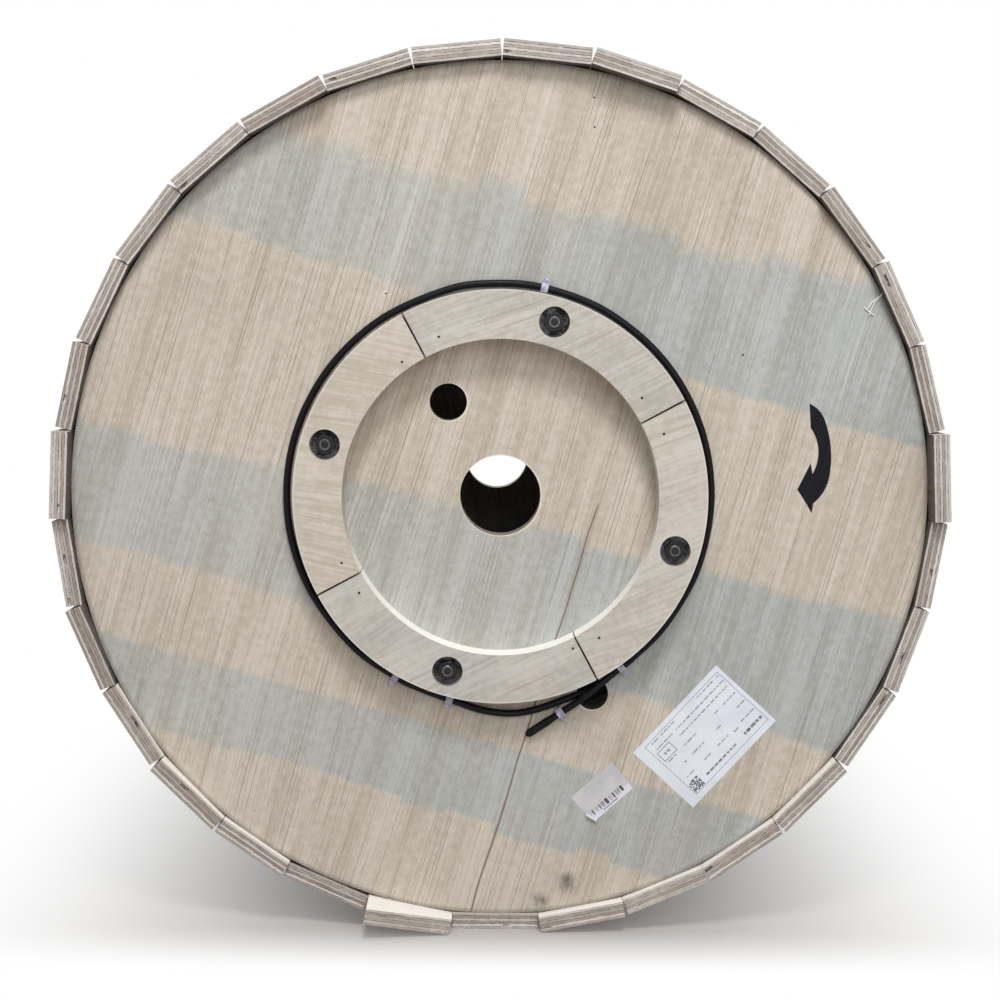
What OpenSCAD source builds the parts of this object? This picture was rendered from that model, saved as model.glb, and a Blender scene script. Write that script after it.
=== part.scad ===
// Lagged plywood drum of fiber optic cable.
// Two flanges are drawn together by four tie rods over a slatted barrel full of cable, and staves
// close the winding in. The axis runs along Y through the origin, halfway between the flanges.
// The front flange faces -Y, and the drum stands on its lowest stave.

/* [Flanges] */
// Diameter of each plywood flange
flange_d = 850; // [760:5:1000]
// Thickness of each flange
flange_t = 25; // [20:1:36]
// Clear width between the flanges
traverse_w = 550; // [300:5:700]
// Diameter of the spindle bore through both flanges
spindle_d = 80; // [60:1:100]
// Diameter of the drive pin hole beside the bore
drive_d = 37; // [25:1:44]
// Distance of the drive pin hole from the axis
drive_r = 106; // [85:1:120]
// Angle of the drive pin hole, anticlockwise from the right
drive_angle = 119.7; // [0:0.1:359.9]
// Diameter of the hole that the cable starts through
start_hole_d = 32; // [28:1:40]

/* [Hub rings] */
// Outer diameter of the hub ring on each flange
ring_d = 406; // [370:1:440]
// Width of the ring's band
ring_band = 48; // [40:1:56]
// Thickness of the ring
ring_t = 32; // [24:1:40]
// Angle of the first joint between segments
ring_joint_angle = 28.7; // [0:0.1:89.9]
// Saw gap at each joint
ring_gap = 1.6; // [0.4:0.1:2.5]
// Diameter of the sunk bolt seats
seat_d = 30; // [29:1:36]
// Depth of the sunk bolt seats
seat_depth = 16; // [15:1:20]

/* [Tie rods] */
// Diameter of the tie rods
rod_d = 12; // [8:1:14]
// Length of rod that shows past each nut
rod_end = 2; // [1:0.5:4]
// Diameter of the washers
washer_d = 28; // [24:1:28]
// Thickness of the washers
washer_t = 2.5; // [1.5:0.5:3]
// Nut size across flats
nut_af = 18; // [16:1:21]
// Height of the nuts
nut_t = 10; // [6:0.5:11]

/* [Barrel] */
// Number of barrel slats
slat_count = 20; // [16:1:28]
// Thickness of the barrel slats
slat_t = 10; // [8:1:16]
// Gap between neighbouring slats
slat_gap = 0.6; // [0.4:0.1:2]
// Depth of the groove that holds the slats in each flange
groove_depth = 8; // [4:1:12]
// Space between the tie rods and the slats
rod_to_slat = 4; // [2:0.5:8]

/* [Lagging] */
// Number of staves round the drum
stave_count = 31; // [26:1:33]
// Thickness of the staves
stave_t = 16; // [12:1:22]
// Gap between neighbouring staves at their inner edges
stave_gap = 0.6; // [0.4:0.1:3]
// Farthest that any stave end stands past the flange
stave_overhang = 45; // [10:1:60]

/* [Cable] */
// Diameter of the cable
cable_d = 7.5; // [6:0.1:8]
// Layers of cable on the barrel
winding_layers = 22; // [10:1:24]
// Outer diameter of the cap on the cable's end
cap_d = 9; // [8.8:0.1:12]
// Length of the cap
cap_len = 30; // [20:1:45]

/* [Clips] */
// Length of a clip along the cable
clip_len = 7; // [5:0.5:10]
// Wall of a clip over the cable
clip_wall = 1.4; // [1:0.1:1.6]
// Diameter of the nail boss beside the cable
boss_d = 5.5; // [4:0.5:7]
// Height of the nail boss
boss_h = 5; // [3:0.5:7]

/* [Hidden] */
$fn = 96;
// How far a cut runs past the faces that it opens
overrun = 1;
// Clearance between fitted wooden pieces
wood_fit = 0.3;
// Clearance round a tie rod in wood and in its nut
rod_hole_clear = 0.5;
rod_thread_clear = 0.1;
// Gap between a stave and the flange rims that it is nailed to
stave_seat = 0.2;
// Clearance of the cable in its cap and clips
cable_fit = 0.25;
// Wood left between the barrel and the hole that the cable starts through
start_hole_wall = 3;
// Depth of the valleys between turns of cable, as a share of the cable's diameter
valley_share = 0.3;
// Width of the closing stave, as a share of a full one
closing_share = 0.92;
// Part of the cap's length that is solid beyond the cable, as a share
cap_end_share = 0.25;
ring_segments = 4;
cable_sides = 10;
// Turn of the back flange from the front one, so that their drive pin holes are not in line
back_flange_turn = 90;

// Flanges, rings and rods
front_z = traverse_w / 2 + flange_t;
ring_face_z = front_z + ring_t;
ring_r = ring_d / 2;
rod_r = ring_r - ring_band / 2;
segment_angle = 360 / ring_segments;
gap_angle = ring_gap / rod_r * 180 / PI;
rod_angles = [for (k = [0:ring_segments - 1]) ring_joint_angle + (k + 0.5) * segment_angle];
seat_z = ring_face_z - seat_depth;
nut_z = seat_z + washer_t;
rod_half = nut_z + nut_t + rod_end;

// Barrel
slat_angle = 360 / slat_count;
slat_r = rod_r + rod_d / 2 + rod_to_slat;
slat_w = 2 * slat_r * tan(slat_angle / 2) - slat_gap;
slat_len = traverse_w + 2 * (groove_depth - wood_fit);
barrel_r = sqrt(pow(slat_r + slat_t, 2) + pow(slat_w / 2, 2));
start_hole_r = barrel_r + start_hole_wall + start_hole_d / 2;
start_hole_angle = 295.5;

// Winding
winding_r = barrel_r + wood_fit;
winding_w = traverse_w - 2 * wood_fit;
turns = floor(winding_w / cable_d);
valley = valley_share * cable_d;

// Lagging. Each pair gives how far the two corners of a stave's end stand past the flange, as shares
// of the farthest one, from the lowest stave on to the right, its clockwise corner first.
stave_end_shares = [
    [0.02, 0.02], [0.28, 0.32], [0.20, 0.22], [0.25, 0.25], [0.29, 0.34], [0.13, 0.24], [0.24, 0.15],
    [0.17, 0.30], [0.62, 0.64], [0.23, 0.24], [0.25, 0.37], [0.20, 0.33], [0.14, 0.16], [0.24, 0.20],
    [0.50, 0.56], [0.38, 0.38], [0.31, 0.32], [0.30, 0.27], [0.46, 0.42], [0.42, 0.40], [0.32, 0.30],
    [0.26, 0.26], [0.44, 0.18], [0.52, 0.50], [0.26, 0.30], [0.50, 0.18], [0.15, 0.13], [0.36, 0.20],
    [0.20, 0.20], [0.06, 0.08], [1.00, 0.50]
];
// The back ends take the same shares from another place in the list
back_end_step = 12;
stave_r = flange_d / 2 + stave_seat;
stave_pitch = 360 / (stave_count - 1 + closing_share);
closing_stave = stave_count - 3;

// Route of the cable's free end over the front flange: each point is an angle about the axis,
// a distance out from the hub ring's rim and a height above the flange, all to the cable's centre.
// The whole route is then turned by a little.
route_turn = 0.7;
tail_route = [
    [297.7, 13.6, -24.6], [297.6, 13.6, -20.6], [296.9, 13.2, -13], [295.8, 12.6, -6.4], [294.3, 12, -1.2],
    [292.2, 11.6, 2.7], [289.7, 11.2, 4.2], [286, 11.8, 4.2], [280, 14.4, 4.2], [273, 16, 4.2],
    [265, 13, 4.2], [256, 7.4, 4.2], [248, 6.2, 4.2], [240, 6.2, 4.2], [225, 7.2, 4.2], [205, 8, 4.2],
    [185, 8.4, 4.2], [165, 8.2, 4.2], [145, 7.4, 4.2], [125, 6.8, 4.2], [105, 6.4, 4.2], [92, 6.2, 4.2],
    [78, 6.2, 4.2], [60, 6.2, 4.2], [40, 6.2, 4.2], [20, 6.2, 4.2], [0, 6.2, 4.2], [-20, 6.2, 4.2],
    [-38, 6.2, 4.2], [-51, 6.5, 4.2], [-55, 7, 4.2], [-59, 8.4, 5.6], [-63, 10.8, 8.6], [-67, 14.2, 10.6],
    [-71, 18.6, 8.8], [-74.6, 22.6, 7.4], [-77.2, 26.6, 6.2], [-79.85, 31.2, 5.5], [-82.4, 36.2, 4.8]
];
// Points of the route that the clips hold
clip_points = [11, 13, 22, 30, 35];
// Greatest distance between the sections of the cable
section_step = 18;

function padded(number) = str(number < 10 ? "0" : "", number);

// The drum is built with its axis along Z and its front face up, then turned so that front is -Y
module front_side() { rotate([90, 0, 0]) children(); }
module back_side() { rotate([90, 0, 0]) mirror([0, 0, 1]) children(); }

// Places a child at a distance from the axis, at an angle anticlockwise from the right
module at_angle(angle, radius) { rotate([0, 0, angle]) translate([radius, 0, 0]) children(); }

// A hole along the axis, between two heights
module drill(diameter, from_z, to_z) {
    translate([0, 0, from_z - overrun]) cylinder(h = to_z - from_z + 2 * overrun, d = diameter);
}

// Flange with the holes that both sides have, and the groove for the barrel in its inner face
module drilled_flange(pin_angle) {
    inner_z = traverse_w / 2;
    difference() {
        translate([0, 0, inner_z]) cylinder(h = flange_t, d = flange_d);
        drill(spindle_d, inner_z, front_z);
        at_angle(pin_angle, drive_r) drill(drive_d, inner_z, front_z);
        for (angle = rod_angles) at_angle(angle, rod_r) drill(rod_d + 2 * rod_hole_clear, inner_z, front_z);
        translate([0, 0, inner_z - overrun]) difference() {
            cylinder(h = groove_depth + overrun, r = barrel_r + wood_fit);
            translate([0, 0, -overrun]) cylinder(h = groove_depth + 3 * overrun, r = slat_r - wood_fit);
        }
    }
}

module flange_front() {
    color("#b8ad9c") front_side() difference() {
        drilled_flange(drive_angle);
        at_angle(start_hole_angle, start_hole_r) drill(start_hole_d, traverse_w / 2, front_z);
    }
}

module flange_back() {
    color("#b8ad9c") back_side() drilled_flange(drive_angle + back_flange_turn);
}

// One segment of a hub ring with its sunk bolt seat, on the front
module ring_segment(index) {
    start = ring_joint_angle + index * segment_angle + gap_angle / 2;
    difference() {
        rotate([0, 0, start])
            rotate_extrude(angle = segment_angle - gap_angle)
                translate([ring_r - ring_band, front_z]) square([ring_band, ring_t]);
        at_angle(rod_angles[index], rod_r) {
            drill(rod_d + 2 * rod_hole_clear, front_z, ring_face_z);
            drill(seat_d, seat_z + overrun, ring_face_z);
        }
    }
}

module ring_front(index) { color("#c8bda6") front_side() ring_segment(index); }
module ring_back(index) { color("#c8bda6") back_side() ring_segment(index); }

// Rod right through the drum, with chamfered ends
module tie_rod(index) {
    radius = rod_d / 2;
    chamfer = rod_end / 2;
    color("#9b9c9c") front_side() at_angle(rod_angles[index], rod_r) rotate_extrude()
        polygon([
            [0, -rod_half], [radius - chamfer, -rod_half], [radius, chamfer - rod_half],
            [radius, rod_half - chamfer], [radius - chamfer, rod_half], [0, rod_half]
        ]);
}

module washer() {
    difference() {
        translate([0, 0, seat_z]) cylinder(h = washer_t, d = washer_d);
        drill(rod_d + 2 * rod_hole_clear, seat_z, nut_z);
    }
}

// Hexagon nut, its corners turned down on both faces
module nut() {
    corner_r = nut_af / 2 / cos(30);
    turned = corner_r - nut_af / 2;
    difference() {
        intersection() {
            translate([0, 0, nut_z]) cylinder(h = nut_t, r = corner_r, $fn = 6);
            rotate_extrude() polygon([
                [0, nut_z], [corner_r - turned, nut_z], [corner_r, nut_z + turned / 2],
                [corner_r, nut_z + nut_t - turned / 2], [corner_r - turned, nut_z + nut_t],
                [0, nut_z + nut_t]
            ]);
        }
        drill(rod_d + 2 * rod_thread_clear, nut_z, nut_z + nut_t);
    }
}

module on_rods() { for (angle = rod_angles) at_angle(angle, rod_r) children(); }

module washers_front() { color("#6f7072") front_side() on_rods() washer(); }
module washers_back() { color("#6f7072") back_side() on_rods() washer(); }
module nuts_front() { color("#8d8e8f") front_side() on_rods() nut(); }
module nuts_back() { color("#8d8e8f") back_side() on_rods() nut(); }

// Flat slats standing in a ring, their ends in the flanges' grooves
module barrel_slats() {
    color("#b09c7c") front_side() for (k = [0:slat_count - 1])
        at_angle(k * slat_angle, slat_r)
            translate([0, -slat_w / 2, -slat_len / 2]) cube([slat_t, slat_w, slat_len]);
}

// Full winding: the turns show as ridges on its outside and on its ends
module cable_winding() {
    half = winding_w / 2;
    outer_r = winding_r + winding_layers * cable_d;
    ridge_r = outer_r - valley;
    end_points = [for (k = [0:2 * winding_layers - 1])
        [winding_r + k * cable_d / 2, k % 2 == 0 ? half - valley : half]];
    side_points = [for (k = [0:2 * turns]) [k % 2 == 0 ? ridge_r : outer_r, half - valley - k * side_w()]];
    back_points = [for (k = [len(end_points) - 1:-1:0]) [end_points[k][0], -end_points[k][1]]];
    color("#26272a") front_side() rotate_extrude() polygon(concat(end_points, side_points, back_points));
}

// Half of a turn's width on the outside of the winding
function side_w() = (winding_w - 2 * valley) / (2 * turns);

// Place of a route point, in the frame whose Z runs out of the front
function route_place(point) = let (radius = ring_r + point[1])
    [radius * cos(point[0] + route_turn), radius * sin(point[0] + route_turn), front_z + point[2]];

route = [for (point = tail_route) route_place(point)];

// Point and direction on the smooth curve through the route, after the point at index, by a share
function before(i) = route[max(i - 1, 0)];
function beyond(i) = route[min(i + 1, len(route) - 1)];
function slope(i) = (beyond(i) - before(i)) / 2;
function on_curve(i, share) = let (a = route[i], b = beyond(i), s = share, q = share * share, c = q * share)
    a * (2 * c - 3 * q + 1) + slope(i) * (c - 2 * q + s)
    + b * (3 * q - 2 * c) + slope(min(i + 1, len(route) - 1)) * (c - q);
function unit(v) = v / norm(v);

sections = concat(
    [for (i = [0:len(route) - 2])
        let (steps = max(1, round(norm(route[i + 1] - route[i]) / section_step)))
        for (k = [0:steps - 1]) on_curve(i, k / steps)],
    [route[len(route) - 1]]
);

// Direction of the cable at a section, from its neighbours
function heading(i) = unit(sections[min(i + 1, len(sections) - 1)] - sections[max(i - 1, 0)]);

// Corners of the cable's section, set out from the line to the drum's axis
function section_corners(i) = let (
    along = heading(i),
    side = unit(cross(along, unit([sections[i][0], sections[i][1], 0]))),
    out = cross(side, along)
) [for (k = [0:cable_sides - 1]) let (turn = 360 * k / cable_sides)
    sections[i] + cable_d / 2 * (cos(turn) * out + sin(turn) * side)];

// Free end of the cable, clipped to the front flange round its hub ring
module cable_tail() {
    last = len(sections) - 1;
    corners = [for (i = [0:last]) each section_corners(i)];
    walls = [for (i = [0:last - 1], k = [0:cable_sides - 1])
        let (next = (k + 1) % cable_sides, here = i * cable_sides, there = here + cable_sides)
        [here + k, there + k, there + next, here + next]];
    first_cap = [for (k = [0:cable_sides - 1]) k];
    last_cap = [for (k = [cable_sides - 1:-1:0]) last * cable_sides + k];
    color("#1d1e21") front_side() polyhedron(corners, concat(walls, [first_cap, last_cap]));
}

// Turns a child that lies along X at the origin to lie along a direction from a place
module along(place, direction) {
    rise = atan2(direction[2], norm([direction[0], direction[1]]));
    translate(place) rotate([0, -rise, atan2(direction[1], direction[0])]) children();
}

// Shrunk cap over the end of the cable, with a round tip
module tail_cap() {
    end = route[len(route) - 1];
    bore_len = cap_len * (1 - cap_end_share);
    cap_r = cap_d / 2;
    color("#151517") front_side() along(end, end - route[len(route) - 2])
        rotate([0, 90, 0]) difference() {
            union() {
                translate([0, 0, -bore_len]) cylinder(h = cap_len - cap_r, r = cap_r);
                translate([0, 0, cap_len - cap_r - bore_len]) sphere(r = cap_r);
            }
            translate([0, 0, -bore_len - overrun])
                cylinder(h = bore_len + overrun + cable_fit, d = cable_d + 2 * cable_fit);
        }
}

// Saddle over the cable with a round nail boss on the side away from the ring
module cable_clip(index) {
    i = clip_points[index];
    place = route[i];
    lift = place[2] - front_z;
    inner_r = cable_d / 2 + cable_fit;
    outer_r = inner_r + clip_wall;
    color("#d9d6e2") front_side() along([place[0], place[1], front_z], [slope(i)[0], slope(i)[1], 0]) {
        rotate([90, 0, 90]) translate([0, 0, -clip_len / 2]) linear_extrude(clip_len)
            difference() {
                union() {
                    translate([0, lift]) circle(r = outer_r);
                    translate([-outer_r, 0]) square([2 * outer_r, lift]);
                }
                translate([0, lift]) circle(r = inner_r);
                translate([-inner_r, 0]) square([2 * inner_r, lift]);
                translate([-outer_r, -outer_r]) square([2 * outer_r, outer_r]);
            }
        translate([0, outer_r + (boss_d - clip_wall) / 2, 0]) cylinder(h = boss_h, d = boss_d);
    }
}

// Turn of a stave from the lowest one, and its share of a full pitch
function stave_share(i) = i == closing_stave ? closing_share : 1;
function stave_turn(i) = stave_pitch * (i < closing_stave ? i
    : i == closing_stave ? i - 0.5 + closing_share / 2
    : i - 1 + closing_share);
function end_shares(i) = stave_end_shares[i % len(stave_end_shares)];

// Board nailed across both flange rims, its ends sawn a little out of line
module stave(i) {
    half_w = stave_r * tan(stave_pitch * stave_share(i) / 2) - stave_gap / 2;
    front = end_shares(i);
    back = end_shares(i + back_end_step);
    color("#a89c8c") front_side() rotate([0, 0, stave_turn(i)]) rotate([90, 0, 0])
        translate([0, 0, stave_r]) linear_extrude(stave_t) polygon([
            [-half_w, front_z + stave_overhang * front[0]], [half_w, front_z + stave_overhang * front[1]],
            [half_w, -front_z - stave_overhang * back[0]], [-half_w, -front_z - stave_overhang * back[1]]
        ]);
}

flange_front();
flange_back();
for (k = [1:ring_segments]) {
    ring_front(k - 1);
    ring_back(k - 1);
    tie_rod(k - 1);
}
washers_front();
washers_back();
nuts_front();
nuts_back();
barrel_slats();
cable_winding();
cable_tail();
tail_cap();
for (k = [1:len(clip_points)])
    cable_clip(k - 1);
for (k = [1:stave_count])
    stave(k - 1);
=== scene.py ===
"""Dressed model of a lagged plywood drum of fiber optic cable.

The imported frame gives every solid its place. This script gives the solids their wood, steel and
plastic finishes, stands layered boards in for the plain staves and a smooth cable for the faceted
one, and adds the nails, labels, painted arrow and loose strands that are too small for the solids.
"""

import logging
import math
import random
from collections.abc import Sequence
from dataclasses import dataclass, field
from enum import Enum

import bmesh
import bpy
from mathutils import Euler, Matrix, Vector


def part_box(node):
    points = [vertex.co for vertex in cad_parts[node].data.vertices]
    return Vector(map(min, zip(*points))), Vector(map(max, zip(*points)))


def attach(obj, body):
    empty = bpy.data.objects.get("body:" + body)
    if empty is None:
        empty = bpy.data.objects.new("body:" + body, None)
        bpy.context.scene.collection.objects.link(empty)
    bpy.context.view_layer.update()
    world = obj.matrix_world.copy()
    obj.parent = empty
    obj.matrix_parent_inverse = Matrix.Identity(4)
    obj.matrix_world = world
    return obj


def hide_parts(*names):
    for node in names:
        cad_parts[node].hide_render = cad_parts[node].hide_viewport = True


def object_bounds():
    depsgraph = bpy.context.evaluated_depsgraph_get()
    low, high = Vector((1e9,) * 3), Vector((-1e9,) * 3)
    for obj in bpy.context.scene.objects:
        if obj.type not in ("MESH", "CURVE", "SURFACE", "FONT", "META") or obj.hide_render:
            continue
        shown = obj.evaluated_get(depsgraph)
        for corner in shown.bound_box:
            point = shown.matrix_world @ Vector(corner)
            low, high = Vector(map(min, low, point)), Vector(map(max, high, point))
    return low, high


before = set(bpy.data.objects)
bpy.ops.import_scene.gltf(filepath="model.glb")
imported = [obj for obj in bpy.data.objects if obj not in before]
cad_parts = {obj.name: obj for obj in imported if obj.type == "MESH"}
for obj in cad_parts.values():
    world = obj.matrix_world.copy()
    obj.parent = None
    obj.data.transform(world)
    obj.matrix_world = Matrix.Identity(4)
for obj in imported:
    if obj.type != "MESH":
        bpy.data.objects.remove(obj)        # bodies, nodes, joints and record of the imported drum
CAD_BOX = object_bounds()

LOG = logging.getLogger("cable_drum")
BODY = "root"
MM = 0.001
ROUND_ANGLE = math.radians(60.0)
OUTWARD = Vector((0.0, -1.0, 0.0))

Pair = tuple[float, float]
Triple = tuple[float, float, float]
Colour = tuple[float, float, float, float]
Pixel = Pair
Material = bpy.types.Material
Socket = bpy.types.NodeSocket
Feed = float | Sequence[float] | Socket
Element = bmesh.types.BMVert | bmesh.types.BMEdge | bmesh.types.BMFace


class Slot(Enum):
    """Material slots of the record."""

    FLANGE = "flange_ply"
    RING = "ring_wood"
    STAVE = "stave_ply"
    BARREL = "barrel_ply"
    CABLE = "cable_jacket"
    CAP = "cap_shrink"
    CLIP = "clip_plastic"
    ROD = "rod_steel"
    WASHER = "washer_steel"
    NUT = "nut_steel"
    NAIL = "nail_steel"
    PAPER = "label_paper"
    FILM = "label_film"
    PAINT = "stencil_paint"


class Side(Enum):
    """The two faces of the drum, by the way along Y that each one looks."""

    FRONT = -1
    BACK = 1


class PortKind(Enum):
    """Kinds of socket that a shared effect has."""

    VALUE = "NodeSocketFloat"
    PLACE = "NodeSocketVector"


def tint(red: int, green: int, blue: int) -> Colour:
    """Turn a display colour into the linear one that a shader takes.

    Args:
        red: Red from 0 to 255.
        green: Green from 0 to 255.
        blue: Blue from 0 to 255.

    Returns:
        The linear colour, opaque.
    """
    def linear(level: int) -> float:
        """Undo the display curve of one channel."""
        share = level / 255
        return share / 12.92 if share <= 0.04045 else ((share + 0.055) / 1.055) ** 2.4

    return linear(red), linear(green), linear(blue), 1.0


# Reference view

@dataclass(frozen=True)
class ReferenceView:
    """Camera of the reference view, which also turns its pixels into places on the drum."""

    place: Triple = (-0.0162, -2.0986, 0.1564)
    pitch: float = math.radians(5.114)
    yaw: float = math.radians(0.51)
    roll: float = math.radians(0.7)
    lens: float = 65.452
    sensor: float = 36.0
    pixels: float = 1000.0
    far_clip: float = 60.0

    def turn(self) -> Matrix:
        """Give the camera's turn."""
        level = Euler((math.pi / 2 - self.pitch, 0.0, -self.yaw)).to_matrix()
        return level @ Matrix.Rotation(self.roll, 3, "Z")

    def on_face(self, pixel: Pixel, y: float) -> Vector:
        """Find the place seen at a pixel, on a plane that faces along Y.

        Args:
            pixel: Column and row in the 1000 by 1000 frame.
            y: Where the plane lies, in metres.

        Returns:
            The place in metres.
        """
        reach = self.lens / self.sensor * self.pixels
        middle = self.pixels / 2
        ray = Vector(((pixel[0] - middle) / reach, (middle - pixel[1]) / reach, -1.0))
        ray.rotate(self.turn())
        start = Vector(self.place)
        return start + ray * ((y - start.y) / ray.y)

    def add_camera(self) -> None:
        """Make the camera and set it as the scene's."""
        data = bpy.data.cameras.new("reference_camera")
        data.lens = self.lens
        data.sensor_width = self.sensor
        data.clip_end = self.far_clip
        camera = bpy.data.objects.new("reference_camera", data)
        camera.location = self.place
        camera.rotation_euler = self.turn().to_euler()
        bpy.context.scene.collection.objects.link(camera)
        bpy.context.scene.camera = camera


VIEW = ReferenceView()


@dataclass(frozen=True)
class DrumSizes:
    """Sizes of the drum that several pieces share, read from the frame, in metres."""

    face_y: float
    ring_r: float
    floor_z: float
    flange_mid_y: float

    @classmethod
    def from_frame(cls) -> "DrumSizes":
        """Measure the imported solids.

        Returns:
            The sizes.
        """
        flange_low, flange_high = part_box("flange_front")
        ring_boxes = [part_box(f"ring_front_{number}") for number in range(1, 5)]
        return cls(
            face_y=flange_low.y,
            ring_r=max(high.x for _, high in ring_boxes),
            floor_z=CAD_BOX[0].z,
            flange_mid_y=(flange_low.y + flange_high.y) / 2,
        )


SIZES = DrumSizes.from_frame()


# Wiring of materials

class Wiring:
    """Adds the nodes of one shader tree and joins them."""

    def __init__(self, tree: bpy.types.NodeTree) -> None:
        """Keep the tree that the nodes go into."""
        self.tree = tree

    def feed(self, socket: Socket, value: Feed) -> None:
        """Join a socket to another one, or set its own value.

        Args:
            socket: The input to feed.
            value: An output socket, or a constant.
        """
        if isinstance(value, Socket):
            self.tree.links.new(value, socket)
        else:
            socket.default_value = value

    def node(
        self, kind: str, inputs: dict[str | int, Feed] | None = None, **settings: object
    ) -> bpy.types.Node:
        """Add a node.

        Args:
            kind: The node's type name.
            inputs: What feeds its inputs, by name or number.
            settings: Values of the node's own properties.

        Returns:
            The node.
        """
        made = self.tree.nodes.new(kind)
        for name, value in settings.items():
            setattr(made, name, value)
        for name, value in (inputs or {}).items():
            self.feed(made.inputs[name], value)
        return made

    def math(self, operation: str, *values: Feed) -> Socket:
        """Add a Math node and return its value."""
        return self.node("ShaderNodeMath", dict(enumerate(values)), operation=operation).outputs[0]

    def spread(self, value: Feed, low: float, high: float, start: float = 0.0, end: float = 1.0) -> Socket:
        """Ease a value from one range into another, held at both ends.

        Args:
            value: The value to ease.
            low: Where the easing starts.
            high: Where it ends.
            start: The result at low.
            end: The result at high.

        Returns:
            The eased value.
        """
        inputs = {"Value": value, "From Min": low, "From Max": high, "To Min": start, "To Max": end}
        return self.node("ShaderNodeMapRange", inputs, interpolation_type="SMOOTHSTEP").outputs[0]

    def blend(self, share: Feed, first: Feed, second: Feed, mode: str = "MIX") -> Socket:
        """Blend two colours.

        Args:
            share: How much of the second one shows.
            first: The colour below.
            second: The colour above.
            mode: The way of blending.

        Returns:
            The blended colour.
        """
        inputs = {0: share, 6: first, 7: second}
        return self.node("ShaderNodeMix", inputs, data_type="RGBA", blend_type=mode).outputs[2]

    def ramp(self, value: Feed, stops: Sequence[tuple[float, Colour]]) -> Socket:
        """Colour a value by a straight ramp.

        Args:
            value: The value, from 0 to 1.
            stops: Places on the ramp and their colours, in order.

        Returns:
            The colour.
        """
        made = self.node("ShaderNodeValToRGB", {0: value})
        elements = made.color_ramp.elements
        while len(elements) < len(stops):
            elements.new(1.0)
        for element, (place, colour) in zip(elements, stops):
            element.position = place
            element.color = colour
        return made.outputs[0]

    def noise(self, place: Feed, scale: Feed, detail: float = 2.0, rough: float = 0.5) -> Socket:
        """Add soft noise.

        Args:
            place: Where the noise is read.
            scale: How many lumps go to a metre.
            detail: How many finer layers it has.
            rough: How strong those are.

        Returns:
            The noise, about 0.5 in the middle.
        """
        inputs = {"Vector": place, "Scale": scale, "Detail": detail, "Roughness": rough}
        return self.node("ShaderNodeTexNoise", inputs).outputs[0]

    def apart(self, place: Feed) -> Sequence[Socket]:
        """Split a place into its three parts."""
        return self.node("ShaderNodeSeparateXYZ", {0: place}).outputs

    def joined(self, x: Feed, y: Feed, z: Feed) -> Socket:
        """Join three values into a place."""
        return self.node("ShaderNodeCombineXYZ", {0: x, 1: y, 2: z}).outputs[0]

    def stretched(self, place: Feed, by: Sequence[float]) -> Socket:
        """Scale a place along its axes."""
        return self.node("ShaderNodeMapping", {"Vector": place, "Scale": by}).outputs[0]

    def effect(self, effect: "Effect", inputs: dict[str | int, Feed]) -> Sequence[Socket]:
        """Place a shared effect.

        Args:
            effect: The effect.
            inputs: What feeds it.

        Returns:
            Its outputs, by name.
        """
        made = self.node("ShaderNodeGroup", node_tree=effect.tree)
        for name, value in inputs.items():
            self.feed(made.inputs[name], value)
        return made.outputs


class Effect(Wiring):
    """A shader node group that several finishes share."""

    def __init__(self, name: str, inputs: dict[str, PortKind], outputs: Sequence[str]) -> None:
        """Make the group and its sockets.

        Args:
            name: The group's name.
            inputs: Names and kinds of its inputs.
            outputs: Names of its outputs, all of them values.
        """
        super().__init__(bpy.data.node_groups.new(name, "ShaderNodeTree"))
        for port, kind in inputs.items():
            self.tree.interface.new_socket(name=port, in_out="INPUT", socket_type=kind.value)
        for port in outputs:
            self.tree.interface.new_socket(name=port, in_out="OUTPUT", socket_type=PortKind.VALUE.value)
        self.given = self.node("NodeGroupInput").outputs
        self.result = self.node("NodeGroupOutput").inputs


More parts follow.
